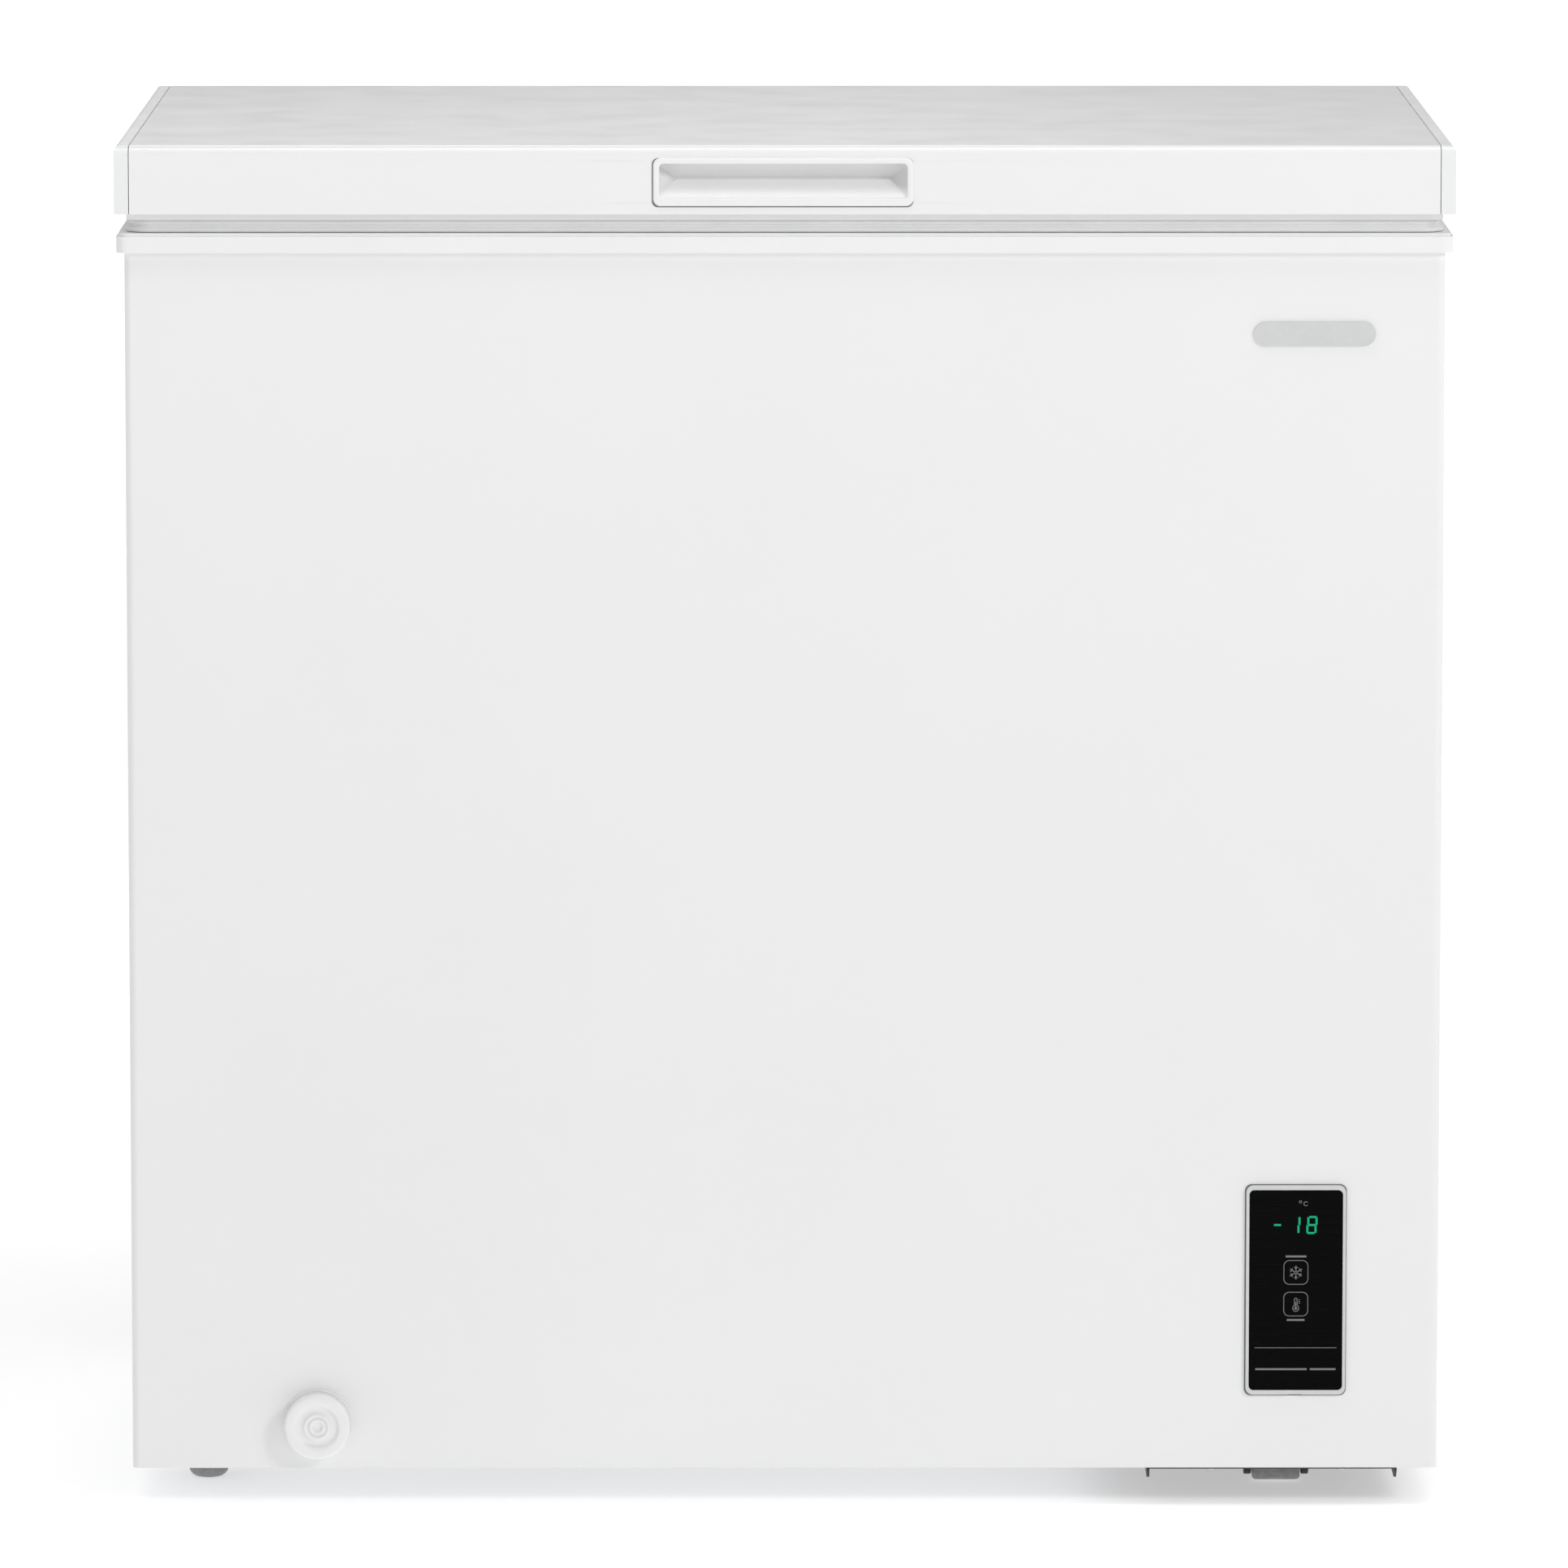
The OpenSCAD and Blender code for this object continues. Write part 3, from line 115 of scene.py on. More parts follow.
def make_floor():
    """A wide pale floor whose own glow grows with the distance from the freezer."""
    data = bpy.data.meshes.new("floor")
    half = 60.0
    data.from_pydata([(-half, -half, 0), (half, -half, 0), (half, half, 0), (-half, half, 0)], [],
                     [(0, 1, 2, 3)])
    floor = bpy.data.objects.new("floor", data)
    bpy.context.scene.collection.objects.link(floor)
    mat = bpy.data.materials.new("pale_floor")
    mat.use_nodes = True
    shader = mat.node_tree.nodes["Principled BSDF"]
    shader.inputs["Base Color"].default_value = (0.86, 0.86, 0.86, 1)
    shader.inputs["Roughness"].default_value = 0.9
    shader.inputs["Specular IOR Level"].default_value = 0.0
    shader.inputs["Emission Color"].default_value = (1, 1, 1, 1)
    nodes, links = mat.node_tree.nodes, mat.node_tree.links
    reach = nodes.new("ShaderNodeVectorMath")
    reach.operation = "LENGTH"
    links.new(nodes.new("ShaderNodeTexCoord").outputs["Object"], reach.inputs[0])
    glow = nodes.new("ShaderNodeMapRange")
    spread = {"From Min": 1.2, "From Max": 7.0, "To Min": 0.46, "To Max": 0.8}
    for socket, value in spread.items():
        glow.inputs[socket].default_value = value
    links.new(reach.outputs["Value"], glow.inputs["Value"])
    links.new(glow.outputs["Result"], shader.inputs["Emission Strength"])
    data.materials.append(mat)


# ---------------------------------------------------------------- materials
class Surface:
    """A Principled material whose colour, roughness and relief come from nodes."""

    def __init__(self, name, color, rough, metal=0.0, coat=0.0, coat_rough=0.1, specular=0.5):
        self.color, self.rough = color, rough
        self.mat = bpy.data.materials.new(name)
        self.mat.use_nodes = True
        self.tree = self.mat.node_tree
        self.shader = self.tree.nodes["Principled BSDF"]
        self.set("Base Color", (*color, 1))
        self.set("Roughness", rough)
        self.set("Metallic", metal)
        self.set("Coat Weight", coat)
        self.set("Coat Roughness", coat_rough)
        self.set("Specular IOR Level", specular)
        self.place = self.add("ShaderNodeTexCoord").outputs["Object"]
        self.relief = None

    def set(self, socket, value):
        self.shader.inputs[socket].default_value = value

    def add(self, kind, **settings):
        node = self.tree.nodes.new(kind)
        for key, value in settings.items():
            setattr(node, key, value)
        return node

    def link(self, a, b):
        self.tree.links.new(a, b)

    def stretched(self, scale):
        """Object coordinates scaled apart on each axis, for grain that runs one way."""
        node = self.add("ShaderNodeMapping")
        node.inputs["Scale"].default_value = scale
        self.link(self.place, node.inputs["Vector"])
        return node.outputs["Vector"]

    def noise(self, size, detail=3.0, rough=0.5, vector=None):
        """Noise whose features are about size metres across."""
        node = self.add("ShaderNodeTexNoise")
        node.inputs["Scale"].default_value = 1.0 / size
        node.inputs["Detail"].default_value = detail
        node.inputs["Roughness"].default_value = rough
        self.link(vector or self.place, node.inputs["Vector"])
        return node.outputs["Fac"]

    def cells(self, size, output="Distance"):
        node = self.add("ShaderNodeTexVoronoi")
        node.inputs["Scale"].default_value = 1.0 / size
        self.link(self.place, node.inputs["Vector"])
        return node.outputs[output]

    def ranged(self, value, low, high, from_low=0.3, from_high=0.7):
        node = self.add("ShaderNodeMapRange")
        node.inputs["From Min"].default_value = from_low
        node.inputs["From Max"].default_value = from_high
        node.inputs["To Min"].default_value = low
        node.inputs["To Max"].default_value = high
        self.link(value, node.inputs["Value"])
        return node.outputs["Result"]

    def tint(self, value, other, share_low=0.0, share_high=1.0):
        """Blends the base colour towards another where value is high."""
        mix = self.add("ShaderNodeMix", data_type="RGBA")
        socket = self.shader.inputs["Base Color"]
        if socket.is_linked:
            self.link(socket.links[0].from_socket, mix.inputs[6])
        else:
            mix.inputs[6].default_value = (*self.color, 1)
        mix.inputs[7].default_value = (*other, 1)
        self.link(self.ranged(value, share_low, share_high), mix.inputs[0])
        self.link(mix.outputs[2], socket)
        return self

    def mottle(self, amount=0.03, size=0.05):
        """Slight light and dark patches in the colour."""
        dark = tuple(c * (1 - amount) for c in self.color)
        return self.tint(self.noise(size), dark)

    def worn_gloss(self, amount=0.06, size=0.02):
        """Roughness that wanders round its mean."""
        low, high = max(self.rough - amount, 0.02), min(self.rough + amount, 1.0)
        self.link(self.ranged(self.noise(size), low, high), self.shader.inputs["Roughness"])
        return self

    def bump(self, value, depth, strength=1.0):
        """Relief of the given depth in metres, stacked on any relief before it."""
        node = self.add("ShaderNodeBump")
        node.inputs["Distance"].default_value = depth
        node.inputs["Strength"].default_value = strength
        self.link(value, node.inputs["Height"])
        if self.relief:
            self.link(self.relief, node.inputs["Normal"])
        self.relief = node.outputs["Normal"]
        self.link(self.relief, self.shader.inputs["Normal"])
        return self


def enamel():
    """Prepainted white sheet: a faint orange peel under a clear gloss."""
    s = Surface("white_enamel", (0.825, 0.825, 0.825), 0.34, coat=0.3, coat_rough=0.1)
    s.mottle(0.012, 0.15).worn_gloss(0.05, 0.05)
    return s.bump(s.noise(7 * MM, 1), 0.004 * MM, 0.3)


def trim_paint():
    """White paint on the lid's side trims and the collar, a little duller than the sheet."""
    s = Surface("white_trim", (0.82, 0.825, 0.825), 0.36, coat=0.15)
    s.mottle(0.015, 0.08).worn_gloss(0.05, 0.02)
    return s.bump(s.noise(1.6 * MM, 2), 0.015 * MM, 0.35)


def moulded(name, color, rough):
    """Injection-moulded plastic with a fine spark-eroded grain."""
    grain = 0.45 * MM
    s = Surface(name, color, rough)
    s.mottle(0.02, 0.04).worn_gloss(0.06, 0.015)
    return s.bump(s.noise(grain, 2), 0.02 * MM, 0.4)


def liner_plastic():
    """Vacuum-formed sheet, glossy and a little wavy."""
    s = Surface("liner_plastic", (0.82, 0.835, 0.84), 0.28)
    s.mottle(0.02, 0.12).worn_gloss(0.06, 0.05)
    return s.bump(s.noise(18 * MM, 2), 0.12 * MM, 0.25).bump(s.noise(0.8 * MM, 1), 0.01 * MM, 0.3)


def galvanised():
    """Zinc-coated sheet with spangle."""
    s = Surface("galvanised", (0.56, 0.58, 0.60), 0.38, metal=0.9)
    spangle = s.cells(5 * MM, output="Color")
    split = s.add("ShaderNodeSeparateColor")
    s.link(spangle, split.inputs["Color"])
    s.tint(split.outputs[0], (0.61, 0.63, 0.65), 0.0, 0.8)
    s.link(s.ranged(split.outputs[1], 0.38, 0.44, 0, 1), s.shader.inputs["Roughness"])
    return s.bump(s.noise(1.2 * MM, 2), 0.01 * MM, 0.3)


def foam():
    """Rigid foam: tiny closed cells under a thin skin."""
    s = Surface("foam", (0.80, 0.70, 0.42), 0.85)
    s.tint(s.noise(0.02), (0.86, 0.78, 0.52))
    return s.bump(s.cells(1.1 * MM), 0.25 * MM, 0.7)


def drawn_tube(name, color, dark, rough, metal=1.0):
    """Drawn metal tube: fine lengthwise lines and patchy tarnish."""
    s = Surface(name, color, rough, metal=metal)
    s.tint(s.noise(0.012, 4), dark, 0.0, 0.7).worn_gloss(0.1, 0.006)
    return s.bump(s.noise(0.5 * MM, 2, vector=s.stretched((1, 1, 0.15))), 0.01 * MM, 0.4)


def powder_black():
    """Steel with a satin black powder coat."""
    s = Surface("black_steel", (0.012, 0.012, 0.013), 0.45)
    s.tint(s.noise(0.03), (0.03, 0.03, 0.032)).worn_gloss(0.08, 0.01)
    return s.bump(s.noise(0.9 * MM, 2), 0.04 * MM, 0.6)


def black_rubber():
    s = Surface("black_rubber", (0.015, 0.015, 0.015), 0.7, specular=0.35)
    s.tint(s.noise(8 * MM, 4), (0.034, 0.034, 0.034), 0.0, 0.6)
    return s.bump(s.noise(0.7 * MM, 2), 0.03 * MM, 0.5)


def zinc():
    """Bright zinc on turned parts: fine rings and a faint warm cast."""
    s = Surface("zinc", (0.62, 0.63, 0.64), 0.3, metal=1.0)
    s.tint(s.noise(2 * MM), (0.66, 0.63, 0.55), 0.0, 0.5).worn_gloss(0.08, 1 * MM)
    return s.bump(s.noise(0.3 * MM, 2), 0.008 * MM, 0.4)


def spring_steel():
    s = Surface("spring_steel", (0.36, 0.36, 0.37), 0.34, metal=1.0)
    s.tint(s.noise(4 * MM, 4), (0.2, 0.19, 0.18), 0.0, 0.6).worn_gloss(0.08, 2 * MM)
    return s.bump(s.noise(0.4 * MM, 2), 0.01 * MM, 0.4)


def silver_plastic():
    """Silver-painted plastic, slightly uneven."""
    s = Surface("silver_bezel", (0.62, 0.625, 0.63), 0.42, metal=0.15)
    s.tint(s.noise(4 * MM, 2), (0.66, 0.665, 0.67), 0.0, 0.8).mottle(0.02, 12 * MM)
    return s.worn_gloss(0.05, 6 * MM)


def black_lens():
    """Gloss-black acrylic: printed behind, with faint brushed lines in the print."""
    s = Surface("black_lens", (0.0006, 0.0006, 0.0008), 0.16, specular=0.04)
    lines = s.noise(0.8 * MM, 2, vector=s.stretched((0.02, 1, 1)))
    s.tint(lines, (0.0018, 0.0018, 0.002)).worn_gloss(0.03, 0.01)
    return s.bump(s.noise(6 * MM, 1), 0.01 * MM, 0.2)


def lit_green():
    s = Surface("green_light", (0.004, 0.12, 0.06), 0.3, specular=0.1)
    s.set("Emission Color", (0.0, 0.42, 0.2, 1))
    s.set("Emission Strength", 0.62)
    return s.tint(s.noise(0.8 * MM), (0.01, 0.2, 0.11), 0.0, 0.6)


def printed_grey():
    """Screen print with slightly uneven ink."""
    s = Surface("grey_print", (0.21, 0.215, 0.22), 0.5, specular=0.2)
    s.tint(s.noise(0.3 * MM, 3), (0.14, 0.145, 0.15), 0.0, 0.8)
    return s.bump(s.noise(0.2 * MM, 2), 0.01 * MM, 0.4)


def circuit_board():
    s = Surface("circuit_board", (0.02, 0.14, 0.05), 0.35, coat=0.4)
    tracks = s.add("ShaderNodeTexBrick")
    tracks.inputs["Scale"].default_value = 220
    tracks.inputs["Mortar Size"].default_value = 0.03
    tracks.inputs["Color1"].default_value = (0.02, 0.14, 0.05, 1)
    tracks.inputs["Color2"].default_value = (0.03, 0.18, 0.07, 1)
    tracks.inputs["Mortar"].default_value = (0.06, 0.3, 0.12, 1)
    s.link(s.place, tracks.inputs["Vector"])
    s.link(tracks.outputs["Color"], s.shader.inputs["Base Color"])
    return s.bump(tracks.outputs["Fac"], 0.03 * MM, 0.5)


def gasket_vinyl():
    """Soft vinyl: satin, slightly dimpled, a touch of dust in the folds."""
    s = Surface("gasket", (0.88, 0.88, 0.88), 0.5, specular=0.4)
    s.tint(s.noise(0.03, 4), (0.82, 0.825, 0.83), 0.0, 0.6).worn_gloss(0.06, 0.01)
    return s.bump(s.noise(1.1 * MM, 2), 0.03 * MM, 0.4)


def coated_wire():
    """Wire under thick white epoxy, with runs at the welds."""
    s = Surface("white_wire", (0.80, 0.81, 0.81), 0.3, coat=0.3)
    s.mottle(0.03, 0.02).worn_gloss(0.06, 5 * MM)
    return s.bump(s.noise(2.5 * MM, 2), 0.06 * MM, 0.5)


def scuffed_plastic(name, color, lighter):
    """Nylon that has rolled or turned on a floor: fine scuffs and dust."""
    s = Surface(name, color, 0.5)
    s.tint(s.noise(3 * MM, 5, 0.7), lighter, 0.0, 0.7).worn_gloss(0.1, 2 * MM)
    scuffs = s.noise(0.5 * MM, 3, vector=s.stretched((1, 0.3, 1)))
    return s.bump(scuffs, 0.03 * MM, 0.5)


def make_materials():
    """One material for each of the record's slots."""
    return {
        "white_enamel": enamel().mat,
        "white_trim": trim_paint().mat,
        "white_plastic": moulded("white_plastic", (0.83, 0.835, 0.83), 0.34).mat,
        "liner_plastic": liner_plastic().mat,
        "galvanised": galvanised().mat,
        "foam": foam().mat,
        "tube_aluminium": drawn_tube("tube_aluminium", (0.72, 0.73, 0.74), (0.55, 0.56, 0.57), 0.35).mat,
        "tube_steel": drawn_tube("tube_steel", (0.05, 0.05, 0.055), (0.02, 0.02, 0.02), 0.4, 0.3).mat,
        "copper": drawn_tube("copper", (0.78, 0.36, 0.2), (0.38, 0.17, 0.1), 0.28).mat,
        "drain_pvc": moulded("drain_pvc", (0.66, 0.68, 0.7), 0.45).mat,
        "black_steel": powder_black().mat,
        "black_rubber": black_rubber().mat,
        "zinc": zinc().mat,
        "spring_steel": spring_steel().mat,
        "black_plastic": moulded("black_plastic", (0.02, 0.02, 0.022), 0.5).mat,
        "silver_bezel": silver_plastic().mat,
        "black_lens": black_lens().mat,
        "green_light": lit_green().mat,
        "grey_print": printed_grey().mat,
        "circuit_board": circuit_board().mat,
        "gasket": gasket_vinyl().mat,
        "white_wire": coated_wire().mat,
        "grey_foot": scuffed_plastic("grey_foot", (0.24, 0.245, 0.25), (0.38, 0.38, 0.38)).mat,
        "grey_roller": scuffed_plastic("grey_roller", (0.22, 0.22, 0.225), (0.42, 0.42, 0.41)).mat,
    }


# ---------------------------------------------------------------- CAD nodes that stay
def dress_cad_nodes(mats):
    """Gives every CAD node the material of its slot in the record."""
    for part in frame["record"]["subparts"]:
        node = NODES[part["node"]]
        for socket in node.material_slots:
            socket.material = mats[part["material_slot"]]


def soften(name, width, segments=3, angle=35):
    """Rounds a CAD node's sharp edges for the light, without moving its faces."""
    node = NODES[name]
    weld = node.modifiers.new("weld", "WELD")
    weld.merge_threshold = 0.002 * MM
    bevel = node.modifiers.new("bevel", "BEVEL")
    bevel.width = width
    bevel.segments = segments
    bevel.limit_method = "ANGLE"
    bevel.angle_limit = math.radians(angle)
    bevel.harden_normals = True
    node.modifiers.new("normals", "WEIGHTED_NORMAL").keep_sharp = True


def round_off(name, levels=2):
    """Rounds a faceted CAD pipe for the light."""
    weld = NODES[name].modifiers.new("weld", "WELD")
    weld.merge_threshold = 0.002 * MM
    smooth = NODES[name].modifiers.new("round", "SUBSURF")
    smooth.levels = smooth.render_levels = levels


# edge radius in millimetres of each CAD node that shows
SOFT_EDGES = {
    "lid_skin": 0.25, "lid_side_trims": 0.3, "top_collar": 1.0, "outer_wrap": 0.25,
    "lid_frame": 0.8, "lid_liner": 0.7, "control_bezel": 0.7, "control_lens": 0.3,
    "super_key": 0.2, "temp_key": 0.2, "badge_plate": 0.5, "side_grille": 0.5,
    "rear_cover": 0.3, "rear_panel": 0.2,
    "hinge_bracket_left": 0.4, "hinge_bracket_right": 0.4, "hinge_leaf_left": 0.4,
    "hinge_leaf_right": 0.4, "relay_cover": 1.0, "compressor_shell": 0.6, "drain_plug": 0.6,
    "cord_gland": 0.5, "temp_sensor": 0.5, "drain_housing": 0.4,
    "compressor_bolts": 0.3, "compressor_grommets": 0.6,
    "hinge_plunger_left": 0.5, "hinge_plunger_right": 0.5,
}


# ---------------------------------------------------------------- meshes of whole pieces
def mesh_object(name, slot, verts, faces, smooth=True):
    data = bpy.data.meshes.new(name)
    data.from_pydata([tuple(v) for v in verts], [], faces)
    data.update()
    data.polygons.foreach_set("use_smooth", [smooth] * len(data.polygons))
    data.materials.append(MATS[slot])
    obj = bpy.data.objects.new(name, data)
    bpy.context.scene.collection.objects.link(obj)
    return obj


def piece(name, body, slot, verts, faces, stands_for=(), smooth=True):
    """A mesh piece in the CAD frame that moves with a CAD body."""
    obj = mesh_object(name, slot, verts, faces, smooth)
    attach(obj, body)
    if stands_for:
        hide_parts(*stands_for)
    return obj


def middle(lo, hi):
    """Centre of a box, as x, y and z."""
    return tuple((lo + hi) / 2)


def loft(rings, close_first=False, close_last=False, joined=False):
    """Faces between rings that each hold the same number of points."""
    count = len(rings[0])
    verts = [p for ring in rings for p in ring]
    faces = []
    pairs = list(zip(range(len(rings) - 1), range(1, len(rings))))
    if joined:
        pairs.append((len(rings) - 1, 0))
    for a, b in pairs:
        for k in range(count):
            n = (k + 1) % count
            faces.append((a * count + k, a * count + n, b * count + n, b * count + k))
    if close_first:
        faces.append(tuple(reversed(range(count))))
    if close_last:
        faces.append(tuple((len(rings) - 1) * count + k for k in range(count)))
    return verts, faces


def merged(parts):
    """One list of vertices and faces out of several."""
    verts, faces = [], []
    for v, f in parts:
        base = len(verts)
        verts += list(v)
        faces += [tuple(i + base for i in face) for face in f]
    return verts, faces


def rounded_rect(width, height, radius, steps=8):
    """Points (u, v) anticlockwise round a rounded rectangle about the origin."""
    pts = []
    for quarter in range(4):
        su = 1 if quarter in (0, 3) else -1
        sv = 1 if quarter in (0, 1) else -1
        cu, cv = su * (width / 2 - radius), sv * (height / 2 - radius)
        for k in range(steps + 1):
            a = math.radians(90 * quarter + 90 * k / steps)
            pts.append((cu + radius * math.cos(a), cv + radius * math.sin(a)))
    return pts


def tube(path, radius, sides=12, closed=False):
    """A round bar swept along points, without twist."""
    pts = [Vector(p) for p in path]
    count = len(pts)
    rings, side = [], None
    for i, p in enumerate(pts):
        before = pts[i - 1] if i or closed else p
        after = pts[(i + 1) % count] if i < count - 1 or closed else p
        way = ((p - before).normalized() + (after - p).normalized()).normalized()
        if side is None:
            side = way.cross(Vector((1, 0, 0)) if abs(way.z) > 0.9 else Vector((0, 0, 1)))
        side = (side - side.dot(way) * way).normalized()
        other = way.cross(side)
        rings.append([p + radius * (math.cos(t) * side + math.sin(t) * other)
                      for t in (2 * math.pi * k / sides for k in range(sides))])
    if closed:
        return loft(rings, joined=True)
    return loft(rings, close_first=True, close_last=True)


def lathe_y(x, z, profile, sides=96):
    """A turned shape about an axis along Y; profile holds (radius, y), front to back."""
    rings = []
    for radius, y in profile:
        r = max(radius, 0.01 * MM)
        rings.append([(x + r * math.cos(t), y, z + r * math.sin(t))
                      for t in (2 * math.pi * k / sides for k in range(sides))])
    return loft(rings)


# ---------------------------------------------------------------- the handle moulding
def soft_min(values, power=6):
    """The lowest of some lengths, with a rounded change from one to the next."""
    return sum(max(v, 0.05 * MM) ** -power for v in values) ** (-1 / power)


def handle_depth(x, z, half_w, half_h, deep):
    """Depth of the finger scoop: a slope up from the lower lip, then a deep slot for the fingers."""
    def eased(distance, radius):
        gap = max(radius - distance, 0.0)
        return deep - radius + math.sqrt(max(radius * radius - gap * gap, 0.0))
    slope_h, slope_d, top, end = 10.5 * MM, 10 * MM, 2.5 * MM, 5 * MM
    rise = z + half_h
    ramp = slope_d * (max(rise, 0.0) / slope_h) ** 1.15
    if rise > slope_h:
        past = min((rise - slope_h) / (1.6 * MM), 1.0)
        ramp = slope_d + (deep - slope_d) * past * past * (3 - 2 * past)
    return soft_min([ramp + 0.05 * MM, eased(half_h - z, top), eased(half_w - abs(x), end)])


def make_handle():
    """A frame proud of the lid, and the scoop behind it as rings that shrink to a line."""
    lo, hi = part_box("handle_insert")
    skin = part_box("lid_skin")[0].y
    cx, _, cz = middle(lo, hi)
    width, height = hi.x - lo.x, hi.z - lo.z
    open_w, open_h, shift = 152.5 * MM, 21.2 * MM, 0.7 * MM
    deep = hi.y - skin - 2 * MM
    rings = []

    def ring(w, h, r, y, dz=0.0):
        rings.append([(cx + u, y, cz + dz + v) for u, v in rounded_rect(w, h, r, 10)])

    for inset, y in ((0, 0.6), (0, -0.3), (0.25, -0.85), (0.7, -1.15), (1.4, -1.25)):
        ring(width - 2 * inset * MM, height - 2 * inset * MM, (4.5 - inset) * MM, skin + y * MM)
    for grow, y in ((1.2, -1.25), (0.6, -1.1), (0.2, -0.7), (0, -0.1)):
        ring(open_w + 2 * grow * MM, open_h + 2 * grow * MM, (2.6 + grow) * MM, skin + y * MM, shift)
    half_w, half_h = open_w / 2, open_h / 2
    outline = rounded_rect(open_w, open_h, 2.6 * MM, 10)
    steps = 56
    for step in range(steps + 1):
        t = (step / steps) ** 1.2
        line = []
        for u, v in outline:
            heart = max(-half_w + half_h, min(half_w - half_h, u))
            x, z = u + (heart - u) * t, v * (1 - t) + 0.001 * MM
            depth = handle_depth(x, z, half_w, half_h, deep)
            line.append((cx + x, skin + depth, cz + shift + z))
        rings.append(line)
    verts, faces = loft(rings)
    return piece("handle_moulding", "lid", "white_plastic", verts, faces, ["handle_insert"])


# ---------------------------------------------------------------- the drain dial
def make_dial():
    """A cap with turned rings; face holds (radius, depth) in millimetres before relief."""
    lo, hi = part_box("drain_dial")
    x, _, z = middle(lo, hi)
    relief = 1.7
    front, back = lo.y + 0.05 * MM, hi.y
    r = (hi.x - lo.x) / 2
    face = [(0, 1.0), (2.6, 1.0), (3.3, 0.75), (3.9, 0.25), (4.4, 0.2), (5.0, 0.7), (5.6, 0.95),
            (6.1, 0.9), (6.7, 0.4), (7.3, 0.2), (7.9, 0.35), (8.5, 0.95), (9.2, 1.15),
            (12.0, 1.15), (12.9, 0.95), (13.6, 0.35), (14.3, 0.08), (15.2, 0.0), (18.0, 0.02)]
    profile = [(a * MM, front + relief * b * MM) for a, b in face]
    profile += [(r - 1.3 * MM, front + 0.25 * MM), (r - 0.5 * MM, front + 0.8 * MM),
                (r - 0.1 * MM, front + 1.6 * MM), (r, front + 2.6 * MM)]
    rim_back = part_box("drain_housing")[0].y - 0.2 * MM
    profile += [(r, rim_back - 0.6 * MM), (r - 0.5 * MM, rim_back), (7.9 * MM, rim_back),
                (7.9 * MM, back), (5 * MM, back), (5 * MM, rim_back), (0, rim_back)]
    verts, faces = lathe_y(x, z, profile)
    return piece("dial_turned", "drain_knob", "white_plastic", verts, faces, ["drain_dial"])


# ---------------------------------------------------------------- the basket
def arc(centre, radius, u, v, steps=6):
    """Points of a quarter turn from centre + u to centre + v."""
    c, u, v = Vector(centre), Vector(u), Vector(v)
    return [c + radius * (math.cos(t) * u + math.sin(t) * v)
            for t in (math.pi / 2 * k / steps for k in range(steps + 1))]


def u_bend(a, b, down, radius):
    """Down from a, across under the basket, and up to b."""
    a, b = Vector(a), Vector(b)
    u, up = (b - a).normalized(), Vector((0, 0, 1))
    return ([a] + arc(a - down * up + radius * (u + up), radius, -u, -up)
            + arc(b - down * up + radius * (up - u), radius, -up, u) + [b])


def loop(x0, x1, y0, y1, z, radius):
    """A closed rounded rectangle at one height."""
    cx, cy = (x0 + x1) / 2, (y0 + y1) / 2
    return [(cx + u, cy + v, z) for u, v in rounded_rect(x1 - x0, y1 - y0, radius, 6)]


def make_basket():
    """Wires bent up on all sides, a thick rim with two hooks, and two belts."""
    wire, rim, bend = 1.3 * MM, 2.5 * MM, 7 * MM
    gaps_across, gaps_along = 7, 10
    clo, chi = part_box("basket_cross_wires")
    llo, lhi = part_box("basket_long_wires")
    rlo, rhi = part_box("basket_rim")
    x0, x1 = llo.x + wire, lhi.x - wire
    y0, y1 = clo.y + wire, chi.y - wire
    top, rim_z, low = clo.z + wire, rhi.z - rim, chi.z
    across, along = [], []
    for i in range(gaps_across + 1):
        x = clo.x + wire + (chi.x - clo.x - 2 * wire) * i / gaps_across
        across.append(tube(u_bend((x, y0, low), (x, y1, low), low - top, bend), wire))
    floor = llo.z + wire
    for i in range(gaps_along + 1):
        y = llo.y + wire + (lhi.y - llo.y - 2 * wire) * i / gaps_along
        along.append(tube(u_bend((x0, y, low), (x1, y, low), low - floor, bend), wire))
    bars = [tube(loop(x0, x1, y0, y1, rim_z, 6 * MM), rim, 16, closed=True)]
    hook_y0, hook_y1 = rlo.y + rim, rhi.y - rim
    for y_in, y_out in ((y0, hook_y0), (y1, hook_y1)):
        s = 1 if y_out > y_in else -1
        r = 5 * MM
        left, right = x0 + 10 * MM, x1 - 10 * MM
        bars.append(tube(
            [(left, y_in, rim_z)]
            + arc((left + r, y_out - s * r, rim_z), r, (-1, 0, 0), (0, s, 0))
            + arc((right - r, y_out - s * r, rim_z), r, (0, s, 0), (1, 0, 0))
            + [(right, y_in, rim_z)], rim, 16))
    off = x0 - rlo.x - wire
    lowest_belt = rlo.z + wire
    for z in (lowest_belt, 2 * lowest_belt - top):
        bars.append(tube(loop(x0 - off, x1 + off, y0 - off, y1 + off, z, bend), wire, closed=True))
    piece("basket_frame_bars", "basket", "white_wire", *merged(bars), ["basket_rim"])
    piece("basket_wires_across", "basket", "white_wire", *merged(across), ["basket_cross_wires"])
    piece("basket_wires_along", "basket", "white_wire", *merged(along), ["basket_long_wires"])


